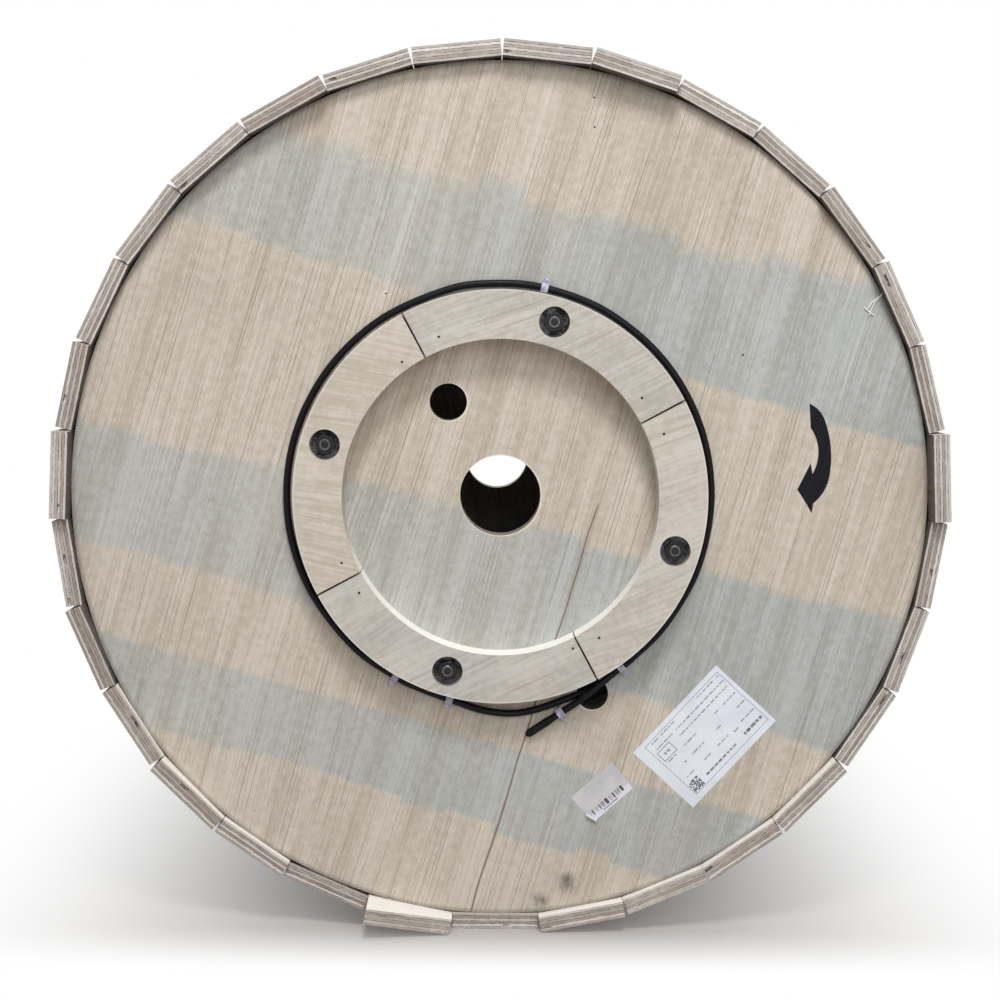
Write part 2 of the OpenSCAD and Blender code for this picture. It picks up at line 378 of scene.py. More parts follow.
class Surface(Wiring):
    """A new material with its shader."""

    BUMP_STRENGTH = 0.6

    def __init__(self, name: str) -> None:
        """Make the material."""
        self.material = bpy.data.materials.new(name)
        self.material.use_nodes = True
        super().__init__(self.material.node_tree)
        self.shader = self.tree.nodes["Principled BSDF"]

    def local(self, turn: Sequence[float] = (0, 0, 0), shift: Sequence[float] = (0, 0, 0)) -> Socket:
        """Give the object's own coordinates, turned and shifted.

        Args:
            turn: Turn about each axis, in radians.
            shift: Shift along each axis, in metres.

        Returns:
            The place.
        """
        coordinates = self.node("ShaderNodeTexCoord").outputs["Object"]
        inputs = {"Vector": coordinates, "Location": shift, "Rotation": turn}
        return self.node("ShaderNodeMapping", inputs).outputs[0]

    def from_line(self, place: Feed, x: float = 0.0, z: float = 0.0) -> Socket:
        """Say how far a place is from a line along Y.

        Args:
            place: Place on the drum.
            x: Where the line lies along X.
            z: Where it lies along Z.

        Returns:
            The distance in metres.
        """
        place_x, _, place_z = self.apart(place)
        spots = {0: self.joined(place_x, 0.0, place_z), 1: (x, 0.0, z)}
        return self.node("ShaderNodeVectorMath", spots, operation="DISTANCE").outputs["Value"]

    def squarely(self, axis: int) -> Socket:
        """Say whether the surface faces along an axis, either way."""
        normal = self.node("ShaderNodeTexCoord").outputs["Normal"]
        return self.spread(self.math("ABSOLUTE", self.apart(normal)[axis]), 0.45, 0.55)

    def upward(self) -> Socket:
        """Say how squarely the surface faces up."""
        return self.apart(self.node("ShaderNodeTexCoord").outputs["Normal"])[2]

    def attribute(self, name: str, output: str) -> Socket:
        """Read one of the piece's own attributes."""
        return self.node("ShaderNodeAttribute", attribute_name=name).outputs[output]

    def dress(
        self, colour: Feed, roughness: Feed, height: Feed | None = None, depth: float = 0.3 * MM
    ) -> None:
        """Feed the shader.

        Args:
            colour: The base colour.
            roughness: The roughness.
            height: The relief from 0 to 1, if there is one.
            depth: How deep the relief is, in metres.
        """
        self.feed(self.shader.inputs["Base Color"], colour)
        self.feed(self.shader.inputs["Roughness"], roughness)
        if height is not None:
            inputs = {"Height": height, "Distance": depth, "Strength": self.BUMP_STRENGTH}
            self.feed(self.shader.inputs["Normal"], self.node("ShaderNodeBump", inputs).outputs[0])

    def set(self, **values: float | Colour) -> None:
        """Set plain values on the shader, with underscores for the spaces in their names."""
        for name, value in values.items():
            self.shader.inputs[name.replace("_", " ")].default_value = value


# Effects that the finishes share

def grain_effect() -> Effect:
    """Make wood grain along Z: growth lines set out across X, with streaks of tone between them.

    Returns:
        The effect, with its tone, its dark lines, its pale lines and its relief.
    """
    effect = Effect(
        "wood_grain",
        {"Place": PortKind.PLACE, "Pitch": PortKind.VALUE, "Run": PortKind.VALUE, "Sway": PortKind.VALUE},
        ("Tone", "Line", "Pale", "Height"),
    )
    place = effect.given["Place"]
    x, y, z = effect.apart(place)
    drift = effect.noise(effect.stretched(place, (5.0, 5.0, 1.6)), 1.0, 1.0)
    bent = effect.math("MULTIPLY_ADD", drift, effect.given["Sway"], effect.math("ADD", x, y))
    rings = effect.math("MULTIPLY", bent, effect.given["Pitch"])
    run = effect.math("MULTIPLY", z, effect.given["Run"])

    def streaks(across: float, along: float, layer: float, detail: float) -> Socket:
        """Read noise that is drawn out along the grain."""
        sideways, lengthways = effect.math("MULTIPLY", rings, across), effect.math("MULTIPLY", run, along)
        return effect.noise(effect.joined(sideways, layer, lengthways), 1.0, detail)

    def from_line(share: float, start: float) -> Socket:
        """Find how far a place is from the nearest growth line, in line pitches."""
        turns = effect.math("MULTIPLY_ADD", rings, share, start)
        cells = effect.node(
            "ShaderNodeTexVoronoi", {"W": turns, "Scale": 1.0, "Randomness": 0.9},
            voronoi_dimensions="1D", feature="DISTANCE_TO_EDGE",
        )
        return cells.outputs["Distance"]

    fade = effect.spread(streaks(0.8, 2.2, 3.7, 2.0), 0.42, 0.68)
    line = effect.math("MULTIPLY", effect.spread(from_line(1.0, 0.0), 0.0, 0.11, 1.0, 0.0), fade)
    shine = effect.spread(streaks(0.6, 2.2, 8.1, 2.0), 0.44, 0.68)
    pale = effect.math("MULTIPLY", effect.spread(from_line(0.62, 7.4), 0.0, 0.10, 1.0, 0.0), shine)
    mottle = effect.math("MULTIPLY", effect.noise(place, 120.0, 4.0, 0.6), 0.3)
    broad = effect.math("MULTIPLY_ADD", streaks(0.19, 0.9, 1.3, 2.0), 0.28, mottle)
    fibre = effect.math("MULTIPLY_ADD", streaks(3.6, 5.0, 5.9, 3.0), 0.42, broad)
    tone = effect.spread(fibre, 0.38, 0.62)
    effect.feed(effect.result["Tone"], tone)
    effect.feed(effect.result["Line"], line)
    effect.feed(effect.result["Pale"], pale)
    effect.feed(effect.result["Height"], effect.math("MULTIPLY_ADD", line, -0.7, tone))
    return effect


def grime_effect() -> Effect:
    """Make handling dirt: soft blots and small specks.

    Returns:
        The effect.
    """
    effect = Effect("handling_grime", {"Place": PortKind.PLACE, "Scale": PortKind.VALUE}, ("Blot", "Speck"))
    place, scale = effect.given["Place"], effect.given["Scale"]
    cloud = effect.noise(place, scale, 5.0, 0.65)
    dots = effect.noise(place, effect.math("MULTIPLY", scale, 38.0), 1.0, 0.4)
    speck = effect.math("MULTIPLY", effect.spread(dots, 0.73, 0.78), effect.spread(cloud, 0.44, 0.56))
    effect.feed(effect.result["Blot"], effect.spread(cloud, 0.50, 0.74))
    effect.feed(effect.result["Speck"], speck)
    return effect


def layers_effect() -> Effect:
    """Make the sawn edge of plywood: plies stacked along a depth, with glue lines, and a mask of open gaps
    for painted shade.

    Returns:
        The effect, with the tone of the plies, the gaps and the relief.
    """
    effect = Effect(
        "plywood_edge",
        {"Place": PortKind.PLACE, "Depth": PortKind.VALUE, "Ply": PortKind.VALUE},
        ("Tone", "Gap", "Height"),
    )
    count = effect.math("DIVIDE", effect.given["Depth"], effect.given["Ply"])
    number = effect.math("FLOOR", count)
    within = effect.math("FRACT", count)
    cross = effect.math("PINGPONG", number, 1.0)
    random_tone = effect.node("ShaderNodeTexWhiteNoise", {"W": number}, noise_dimensions="1D").outputs[0]
    fibre = effect.noise(effect.given["Place"], 260.0, 3.0, 0.6)
    layer = effect.math("MULTIPLY_ADD", cross, 0.4, effect.math("MULTIPLY", random_tone, 0.3))
    tone = effect.math("MULTIPLY_ADD", fibre, 0.5, layer)
    to_glue = effect.math("PINGPONG", within, 0.5)
    glue = effect.spread(to_glue, 0.0, 0.09, 1.0, 0.0)
    hollow = effect.noise(effect.given["Place"], 46.0, 2.0)
    # Mask of the open gaps, where their shade is painted dark and the relief sinks.
    gap_shade = effect.math("MULTIPLY", effect.spread(hollow, 0.62, 0.66), effect.spread(to_glue, 0.22, 0.3))
    gap_shade = effect.math("MULTIPLY", gap_shade, cross)
    effect.feed(effect.result["Tone"], effect.math("MULTIPLY_ADD", glue, -0.35, tone))
    effect.feed(effect.result["Gap"], gap_shade)
    effect.feed(effect.result["Height"], effect.math("SUBTRACT", tone, gap_shade))
    return effect


@dataclass(frozen=True)
class BandEdge:
    """Edge of a greyed band.

    Attributes:
        level: Its place along the grain, in metres.
        tilt: Its tilt across the grain.
        step: How far it jumps between strips, in metres.
        soft: Half the width in which it fades, in metres.
    """

    level: float
    tilt: float
    step: float
    soft: float


BAND_EDGES = (
    BandEdge(-0.324, 0.0, 0.012, 0.003),
    BandEdge(-0.2425, -0.015, 0.003, 0.004),
    BandEdge(-0.156, -0.015, 0.006, 0.006),
    BandEdge(-0.0255, -0.058, 0.012, 0.007),
    BandEdge(0.168, 0.01, 0.008, 0.004),
    BandEdge(0.291, -0.05, 0.020, 0.012),
)


def bands_effect() -> Effect:
    """Make the greyed bands that weather leaves across the veneer strips of a stacked flange.

    Returns:
        The effect, with the mask of the grey.
    """
    strips_per_metre = 22.0
    effect = Effect("grey_bands", {"Across": PortKind.VALUE, "Along": PortKind.VALUE}, ("Mask",))
    strips = effect.math("MULTIPLY", effect.given["Across"], strips_per_metre)
    strip = effect.node("ShaderNodeTexVoronoi", {"W": strips, "Scale": 1.0}, voronoi_dimensions="1D")
    jumps = effect.apart(strip.outputs["Color"])
    mask: Feed = 0.0
    for number, edge in enumerate(BAND_EDGES):
        place = effect.math("MULTIPLY_ADD", effect.given["Across"], edge.tilt, effect.given["Along"])
        jump = effect.math("SUBTRACT", jumps[number % len(jumps)], 0.5)
        place = effect.math("MULTIPLY_ADD", jump, edge.step, place)
        passed = effect.spread(place, edge.level - edge.soft, edge.level + edge.soft)
        mask = effect.math("MULTIPLY_ADD", passed, -1.0 if number % 2 else 1.0, mask)
    effect.feed(effect.result["Mask"], mask)
    return effect


GRAIN = grain_effect()
GRIME = grime_effect()
LAYERS = layers_effect()
BANDS = bands_effect()


# Finishes

@dataclass(frozen=True)
class Finish:
    """What pieces are dressed in.

    Attributes:
        name: Name of the material.
    """

    name: str

    def make(self) -> Material:
        """Make the finish's material.

        Returns:
            The material.
        """
        surface = Surface(self.name)
        self.wire(surface)
        return surface.material

    def wire(self, surface: Surface, /) -> None:
        """Wire the finish's own nodes into a new material."""
        raise NotImplementedError


@dataclass(frozen=True)
class GrainScale:
    """How coarse the grain of a wood is.

    Attributes:
        pitch: How many growth lines go to a metre.
        run: How fast the streaks change along the grain.
        sway: How far the lines wander, in metres.
    """

    pitch: float
    run: float
    sway: float

    def at(self, wood: Surface, place: Feed) -> Sequence[Socket]:
        """Place the grain in a material and give its parts by name."""
        inputs = {"Place": place, "Pitch": self.pitch, "Run": self.run, "Sway": self.sway}
        return wood.effect(GRAIN, inputs)


@dataclass(frozen=True)
class WoodTones:
    """Tones of a wood, and where each one lies on the way from its dark streaks to its pale ones."""

    dark: Colour
    mid: Colour
    pale: Colour
    stops: Triple = (0.0, 0.5, 1.0)

    def colour(self, wood: Surface, tone: Feed) -> Socket:
        """Colour a tone from 0 to 1."""
        return wood.ramp(tone, tuple(zip(self.stops, (self.dark, self.mid, self.pale))))


@dataclass(frozen=True)
class Soiling:
    """Handling dirt on a wood.

    Attributes:
        scale: How many blots go to a metre.
        blot: How much the blots show.
        speck: How much the specks show.
        colour: Colour of the dirt.
    """

    scale: float
    blot: float
    speck: float
    colour: Colour

    def over(self, wood: Surface, place: Feed, clean: Feed) -> Socket:
        """Lay the dirt over a colour.

        Args:
            wood: The material.
            place: Where the dirt is read.
            clean: The colour below it.

        Returns:
            The soiled colour.
        """
        grime = wood.effect(GRIME, {"Place": place, "Scale": self.scale})
        blotted = wood.blend(wood.math("MULTIPLY", grime["Blot"], self.blot), clean, self.colour)
        return wood.blend(wood.math("MULTIPLY", grime["Speck"], self.speck), blotted, self.colour)


SAWN_EDGE = WoodTones(tint(104, 90, 76), tint(158, 145, 130), tint(208, 198, 184), (0.1, 0.45, 0.85))


@dataclass(frozen=True)
class VeneerFinish(Finish):
    """Streaked face veneer of a flange, greyed in bands, with its plies on the edges and in the holes.

    Attributes:
        lean: How far the grain leans from upright, in radians.
        shift: Where the pattern starts, in metres.
        seams: Dark seams: where across the grain, and from where to where along it, in metres.
        stains: Dirty patches: place on the face and radius, in metres.
        holes: Holes with a worn pale rim: place on the face, radius, and how much painted shade darkens the
            hole's sides.
    """

    lean: float = math.radians(16.3)
    shift: Triple = (0.0, 0.0, 0.0)
    seams: tuple[Triple, ...] = ()
    stains: tuple[Triple, ...] = ()
    holes: tuple[tuple[float, float, float, float], ...] = ()
    grain: GrainScale = GrainScale(215.0, 2.2, 0.03)
    tones: WoodTones = WoodTones(tint(179, 169, 153), tint(194, 185, 171), tint(205, 198, 186))
    line: Colour = tint(134, 116, 100)
    line_share: float = 0.94
    grey_line_share: float = 0.54
    shine: Colour = tint(222, 216, 205)
    shine_share: float = 0.5
    grey: Colour = (0.74, 0.85, 0.97, 1.0)
    grey_left: float = 0.74
    cloud_size: Triple = (9.0, 9.0, 3.0)
    rim: Colour = tint(226, 217, 203)
    rim_share: float = 0.75
    rim_span: Pair = (0.2 * MM, 1.8 * MM)
    hole_shade_width: float = 2 * MM
    seam: Colour = tint(116, 92, 72)
    seam_share: float = 0.85
    seam_span: Pair = (0.4 * MM, 1.5 * MM)
    seam_waver: float = 8 * MM
    seam_fade: float = 20 * MM
    dirt: Soiling = Soiling(7.0, 0.13, 0.22, tint(92, 84, 76))
    # Darker towards the rim: dirt, and painted shade from the staves that stand out over it.
    rim_dirt_and_shade: float = 0.5
    rim_dirt_and_shade_span: Pair = (0.4195, 0.4245)
    smear_size: Triple = (60.0, 1.0, 24.0)
    # Painted shade in the open gaps between plies and on the sides of the holes.
    gap_shade: Colour = tint(46, 38, 32)
    ply: float = 2.8 * MM
    rough: Pair = (0.78, 0.62)
    relief: float = 0.25 * MM

    def wire(self, wood: Surface, /) -> None:
        """Wire the material.

        Args:
            wood: The material.
        """
        plain = wood.local()
        place = wood.local(turn=(0.0, -self.lean, 0.0), shift=self.shift)
        across, _, along = wood.apart(place)
        grain = self.grain.at(wood, place)
        band = wood.effect(BANDS, {"Across": across, "Along": along})["Mask"]
        face = self.tones.colour(wood, grain["Tone"])
        lines = wood.math("MULTIPLY_ADD", band, self.grey_line_share - self.line_share, self.line_share)
        face = wood.blend(wood.math("MULTIPLY", grain["Line"], lines), face, self.line)
        face = wood.blend(wood.math("MULTIPLY", grain["Pale"], self.shine_share), face, self.shine)
        clouds = wood.noise(wood.stretched(place, self.cloud_size), 1.0, 3.0)
        greyed = wood.math("MULTIPLY", band, wood.spread(clouds, 0.3, 0.6, 0.75, 1.0))
        sideways = wood.spread(across, -SIZES.ring_r, SIZES.ring_r, self.grey_left, 1.0)
        face = wood.blend(wood.math("MULTIPLY", greyed, sideways), face, self.grey, "MULTIPLY")
        face = self.add_seams(wood, face, across, along)
        face = self.add_dirt_and_rim_shade(wood, face, plain)
        _, depth, _ = wood.apart(plain)
        edge = wood.effect(LAYERS, {"Place": plain, "Depth": depth, "Ply": self.ply})
        sawn = wood.blend(edge["Gap"], SAWN_EDGE.colour(wood, edge["Tone"]), self.gap_shade)
        rim_low, rim_high = self.rim_span
        for hole_x, hole_z, radius, shade_and_dirt in self.holes:
            away = wood.from_line(plain, hole_x, hole_z)
            rim = wood.spread(away, radius + rim_low, radius + rim_high, self.rim_share, 0.0)
            face = wood.blend(rim, face, self.rim)
            # Painted shade on the sides of the hole, as much as the hole's share.
            hole_shade = wood.spread(away, radius, radius + self.hole_shade_width, shade_and_dirt, 0.0)
            sawn = wood.blend(hole_shade, sawn, self.gap_shade)
        colour = wood.blend(wood.squarely(1), sawn, face)
        wood.dress(colour, wood.spread(grain["Tone"], 0.0, 1.0, *self.rough), grain["Height"], self.relief)

    def add_seams(self, wood: Surface, face: Feed, across: Feed, along: Feed) -> Feed:
        """Draw the dark seams between veneer strips.

        Args:
            wood: The material.
            face: The colour so far.
            across: Place across the grain.
            along: Place along the grain.

        Returns:
            The colour with the seams.
        """
        for middle, low, high in self.seams:
            waver = wood.noise(wood.joined(middle, 0.0, along), 9.0, 2.0)
            line = wood.math("MULTIPLY_ADD", waver, self.seam_waver, middle - self.seam_waver / 2)
            away = wood.math("ABSOLUTE", wood.math("SUBTRACT", across, line))
            mask = wood.spread(away, *self.seam_span, self.seam_share, 0.0)
            mask = wood.math("MULTIPLY", mask, wood.spread(along, low, low + self.seam_fade))
            mask = wood.math("MULTIPLY", mask, wood.spread(along, high - self.seam_fade, high, 1.0, 0.0))
            face = wood.blend(mask, face, self.seam)
        return face

    def add_dirt_and_rim_shade(self, wood: Surface, face: Feed, place: Feed) -> Feed:
        """Lay handling dirt over the face all over and in the stained patches, and darken it towards the
        rim with dirt and painted shade.

        Args:
            wood: The material.
            face: The colour so far.
            place: Place on the drum.

        Returns:
            The dirtied colour.
        """
        face = self.dirt.over(wood, place, face)
        # Darker towards the rim: dirt, and painted shade from the staves that stand out over it.
        rim_darkening = wood.spread(wood.from_line(place), *self.rim_dirt_and_shade_span, 0.0, self.rim_dirt_and_shade)
        face = wood.blend(rim_darkening, face, self.dirt.colour)
        smear = wood.noise(wood.stretched(place, self.smear_size), 1.0, 4.0, 0.7)
        for stain_x, stain_z, radius in self.stains:
            away = wood.from_line(place, stain_x, stain_z)
            mask = wood.spread(away, 0.3 * radius, radius, 1.0, 0.0)
            mask = wood.math("MULTIPLY", mask, wood.spread(smear, 0.4, 0.6, 0.15, 0.8))
            face = wood.blend(mask, face, self.dirt.colour)
        return face


@dataclass(frozen=True)
class HubWoodFinish(Finish):
    """Planed pale wood of one hub ring segment.

    Attributes:
        lean: How far the grain leans from upright, in radians.
        greyed: How grey the segment has gone, from 0 to 1.
        shift: Where the grain starts, in metres.
    """

    lean: float
    greyed: float
    shift: float
    grain: GrainScale = GrainScale(75.0, 3.0, 0.12)
    tones: WoodTones = WoodTones(tint(187, 178, 164), tint(199, 191, 178), tint(208, 201, 190))
    line: Colour = tint(166, 152, 136)
    line_share: float = 0.6
    worn: Colour = tint(226, 220, 210)
    worn_share: float = 0.7
    worn_span: Pair = (1.8 * MM, 0.4 * MM)
    # Painted highlight: near white on the inner side of the ring where it faces up.
    painted_highlight: Colour = tint(252, 249, 242)
    wall_r: float = 158 * MM
    grey: Colour = (0.83, 0.88, 0.94, 1.0)
    cloud_scale: float = 16.0
    dirt: Soiling = Soiling(14.0, 0.10, 0.2, tint(120, 108, 96))
    saw: Colour = tint(92, 78, 66)
    saw_share: float = 0.4
    saw_span: Pair = (0.9 * MM, 1.6 * MM)
    joint_angle: float = math.radians(28.7)
    rough: Pair = (0.72, 0.56)
    relief: float = 0.15 * MM

    def wire(self, wood: Surface, /) -> None:
        """Wire the material.

        Args:
            wood: The material.
        """
        place = wood.local(turn=(0.0, -self.lean, 0.0), shift=(self.shift, 0.0, 2 * self.shift))
        plain = wood.local()
        grain = self.grain.at(wood, place)
        face = self.tones.colour(wood, grain["Tone"])
        face = wood.blend(wood.math("MULTIPLY", grain["Line"], self.line_share), face, self.line)
        out = wood.from_line(plain)
        worn_low, worn_high = (SIZES.ring_r - inset for inset in self.worn_span)
        face = wood.blend(wood.spread(out, worn_low, worn_high, 0.0, self.worn_share), face, self.worn)
        clouds = wood.noise(place, self.cloud_scale, 3.0)
        greyed = wood.spread(clouds, 0.36, 0.6, 0.5 * self.greyed, self.greyed)
        face = wood.blend(greyed, face, self.grey, "MULTIPLY")
        face = self.dirt.over(wood, plain, face)
        face = wood.blend(self.near_joint(wood, plain), face, self.saw)
        # Painted highlight on the inner side of the ring where it faces up.
        inside = wood.spread(out, self.wall_r, self.wall_r + MM, 1.0, 0.0)
        painted_highlight = wood.math("MULTIPLY", inside, wood.spread(wood.upward(), 0.1, 0.6))
        face = wood.blend(painted_highlight, face, self.painted_highlight)
        wood.dress(face, wood.spread(grain["Tone"], 0.0, 1.0, *self.rough), grain["Height"], self.relief)

    def near_joint(self, wood: Surface, place: Feed) -> Socket:
        """Say how much a place is soiled by the nearest of the four saw cuts between the segments.

        Args:
            wood: The material.
            place: Place on the drum.

        Returns:
            The share of the soil.
        """
        aways = []
        for cut in (self.joint_angle, self.joint_angle + math.pi / 2):
            across = {0: place, 1: (math.sin(cut), 0.0, -math.cos(cut))}
            dot = wood.node("ShaderNodeVectorMath", across, operation="DOT_PRODUCT").outputs["Value"]
            aways.append(wood.math("ABSOLUTE", dot))
        return wood.spread(wood.math("MINIMUM", *aways), *self.saw_span, self.saw_share, 0.0)


@dataclass(frozen=True)
class BoardFinish(Finish):
    """Rough plywood of the lagging: veneer along each board, and tones by ply on its ends and edges."""

    name: str = "lagging_plywood"
    grain: GrainScale = GrainScale(120.0, 3.0, 0.03)
    face: WoodTones = WoodTones(tint(184, 172, 156), tint(206, 197, 184), tint(226, 220, 210))
    line_share: float = 0.35
    end: WoodTones = WoodTones(
        tint(112, 99, 91), tint(170, 160, 150), tint(224, 220, 215), (0.0, 0.4, 0.85)
    )
    fibre_size: Triple = (240.0, 60.0, 620.0)
    coarse_size: Triple = (30.0, 10.0, 160.0)
    broken_size: Triple = (110.0, 20.0, 200.0)
    glue: Colour = tint(52, 44, 40)
    glue_share: float = 0.85
    dirt: Soiling = Soiling(18.0, 0.2, 0.4, tint(98, 88, 78))
    # Painted shade on the inner faces of the staves that point up or sideways: near black by the flange,
    # browner towards the board's end. The same colours stand for real dirt on the listed low staves.
    shade_and_dirt: Colour = tint(24, 17, 15)
    shade_and_dirt_far: Colour = tint(112, 84, 72)
    shade_and_dirt_share: float = 0.9
    # Painted highlight on the inner faces of the low staves, which face up.
    bright: Colour = tint(250, 246, 239)
    painted_highlight_share: float = 0.85
    overhang: float = 46 * MM
    rough: Pair = (0.85, 0.66)
    relief: float = 0.3 * MM

    def wire(self, wood: Surface, /) -> None:
        """Wire the material.

        Args:
            wood: The material.
        """
        board = wood.attribute(Lagging.PLACE_LAYER, "Vector")
        ply = wood.attribute(Lagging.TONE_LAYER, "Fac")
        across, along, out = wood.apart(board)
        grain = self.grain.at(wood, wood.joined(across, out, along))
        face = self.face.colour(wood, grain["Tone"])
        face = wood.blend(wood.math("MULTIPLY", grain["Line"], self.line_share), face, self.dirt.colour)
        fibre = wood.noise(wood.stretched(board, self.fibre_size), 1.0, 4.0, 0.6)
        coarse = wood.noise(wood.stretched(board, self.coarse_size), 1.0, 2.0)
        tone = wood.math("MULTIPLY_ADD", fibre, 0.3, wood.math("MULTIPLY_ADD", coarse, 0.3, ply))
        end = self.end.colour(wood, wood.math("SUBTRACT", tone, 0.4))
        to_glue = wood.math("PINGPONG", wood.attribute(Lagging.DEPTH_LAYER, "Fac"), 0.5)
        broken = wood.noise(wood.stretched(board, self.broken_size), 1.0, 4.0, 0.7)
        glue_line = wood.spread(to_glue, 0.03, 0.15, self.glue_share, 0.0)
        end = wood.blend(wood.math("MULTIPLY", glue_line, wood.spread(broken, 0.4, 0.56)), end, self.glue)
        colour = wood.blend(wood.attribute(Lagging.FACE_LAYER, "Fac"), end, face)
        colour = self.dirt.over(wood, board, colour)
        # Painted shade on the inner faces of staves that point up or sideways, darker towards the flange,
        # and real dirt on the listed low staves.
        inner = wood.attribute(Lagging.SHADING_LAYER, "Fac")
        reach = wood.math("ABSOLUTE", wood.apart(wood.local())[1])
        out_of_drum = wood.spread(reach, -SIZES.face_y, self.overhang - SIZES.face_y)
        darkened = wood.blend(out_of_drum, self.shade_and_dirt, self.shade_and_dirt_far)
        colour = wood.blend(wood.spread(inner, 0.0, 1.0, 0.0, self.shade_and_dirt_share), colour, darkened)
        # Painted highlight on the inner faces of the other low staves.
        colour = wood.blend(wood.spread(inner, -1.0, 0.0, self.painted_highlight_share, 0.0), colour, self.bright)
        height = wood.math("ADD", grain["Height"], fibre)
        wood.dress(colour, wood.spread(fibre, 0.3, 0.7, *self.rough), height, self.relief)


@dataclass(frozen=True)
class SlatFinish(Finish):
    """Plywood of the barrel slats, with its plies on their ends."""

    name: str = "barrel_plywood"
    grain: GrainScale = GrainScale(110.0, 3.0, 0.02)
    dark: Colour = tint(188, 180, 178)
    pale: Colour = tint(222, 216, 216)
    barrel_r: float = 190 * MM
    ply: float = 2 * MM
    rough: float = 0.75

    def wire(self, wood: Surface, /) -> None:
        """Wire the material.

        Args:
            wood: The material.
        """
        place = wood.local()
        x, y, z = wood.apart(place)
        out = wood.from_line(place)
        around = wood.math("MULTIPLY", wood.math("ARCTAN2", z, x), self.barrel_r)
        grain = self.grain.at(wood, wood.joined(around, out, y))
        face = wood.ramp(grain["Tone"], ((0.0, self.dark), (1.0, self.pale)))
        edge = wood.effect(LAYERS, {"Place": place, "Depth": out, "Ply": self.ply})
        sawn = SAWN_EDGE.colour(wood, edge["Tone"])
        wood.dress(wood.blend(wood.squarely(1), face, sawn), self.rough, grain["Height"])


@dataclass(frozen=True)
class JacketFinish(Finish):
    """Black plastic of the cable, drawn along its length and a little dusty."""

    body: Colour = tint(13, 11, 16)
    dust: Colour = tint(52, 52, 60)
    dust_scale: float = 34.0
    dust_share: float = 0.08
    rough: float = 0.4
    relief: float = 0.05 * MM
    specular: float = 0.14

    def wire(self, plastic: Surface, /) -> None:
        """Wire the material.

        Args:
            plastic: The material.
        """
        place = plastic.local()
        cloud = plastic.noise(place, 60.0, 4.0, 0.6)
        fine = plastic.noise(place, 900.0, 2.0)
        grime = plastic.effect(GRIME, {"Place": place, "Scale": self.dust_scale})
        dusty = plastic.math("MULTIPLY", grime["Blot"], self.dust_share)
        roughness = plastic.spread(cloud, 0.3, 0.7, self.rough - 0.08, self.rough + 0.12)
        plastic.dress(plastic.blend(dusty, self.body, self.dust), roughness, fine, self.relief)
        plastic.set(Specular_IOR_Level=self.specular)


@dataclass(frozen=True)
class WindingFinish(Finish):
    """Black plastic of the wound cable, with a crown on every turn and painted shade in the grooves between
    turns.
    """

    name: str = "wound_jacket"
    body: Colour = tint(26, 26, 29)
    # Painted shade in the grooves between turns.
    gap_shade: Colour = tint(8, 8, 9)
    turn_pitch: float = 7.5 * MM
    rough: Pair = (0.34, 0.55)
    relief: float = 0.5 * MM

    def wire(self, plastic: Surface, /) -> None:
        """Wire the material.

        Args:
            plastic: The material.
        """
        place = plastic.local()
        _, y, _ = plastic.apart(place)
        within = plastic.math("PINGPONG", plastic.math("DIVIDE", y, self.turn_pitch), 0.5)
        crown = plastic.spread(within, 0.0, 0.25)
        roughness = plastic.spread(plastic.noise(place, 80.0, 4.0, 0.6), 0.3, 0.7, *self.rough)
        plastic.dress(plastic.blend(crown, self.gap_shade, self.body), roughness, crown, self.relief)


@dataclass(frozen=True)
class SteelFinish(Finish):
    """Zinc-plated steel that has gone dull, with dirt on it.

    Attributes:
        bright: Colour of the clean zinc.
        dull: Colour of the dirt on it.
        worn: Share of the surface that the dirt leaves bright.
        thread: Pitch of a thread along Y, or nothing where the surface is plain.
        core: Middle of a dark round core on the face, as X, Z and radius, where there is one.
    """

    bright: Colour
    dull: Colour
    worn: float
    thread: float = 0.0
    core: Triple | None = None
    grime_scale: float = 90.0
    rough: Pair = (0.36, 0.62)
    metal: Pair = (1.0, 0.45)
    thread_depth: float = 0.7 * MM
    scratch_depth: float = 0.04 * MM

    def wire(self, steel: Surface, /) -> None:
        """Wire the material.

        Args:
            steel: The material.
        """
        place = steel.local()
        grime = steel.effect(GRIME, {"Place": place, "Scale": self.grime_scale})
        height = steel.noise(place, 1600.0, 3.0, 0.7)
        depth = self.scratch_depth
        cloud = steel.noise(place, 130.0, 3.0)
        tarnish = steel.spread(cloud, 0.3 + 0.3 * self.worn, 0.5 + 0.3 * self.worn)
        dimmed = steel.math("MAXIMUM", grime["Blot"], tarnish)
        if self.thread:
            turns = steel.math("DIVIDE", steel.apart(place)[1], self.thread)
            height = steel.math("PINGPONG", turns, 0.5)
            depth = self.thread_depth
        if self.core:
            core_x, core_z, core_r = self.core
            inside = steel.spread(steel.from_line(place, core_x, core_z), 0.8 * core_r, core_r, 1.0, 0.0)
            dimmed = steel.math("MAXIMUM", dimmed, inside)
        roughness = steel.spread(dimmed, 0.0, 1.0, *self.rough)
        steel.dress(steel.blend(dimmed, self.bright, self.dull), roughness, height, depth)
        steel.feed(steel.shader.inputs["Metallic"], steel.spread(dimmed, 0.0, 1.0, *self.metal))


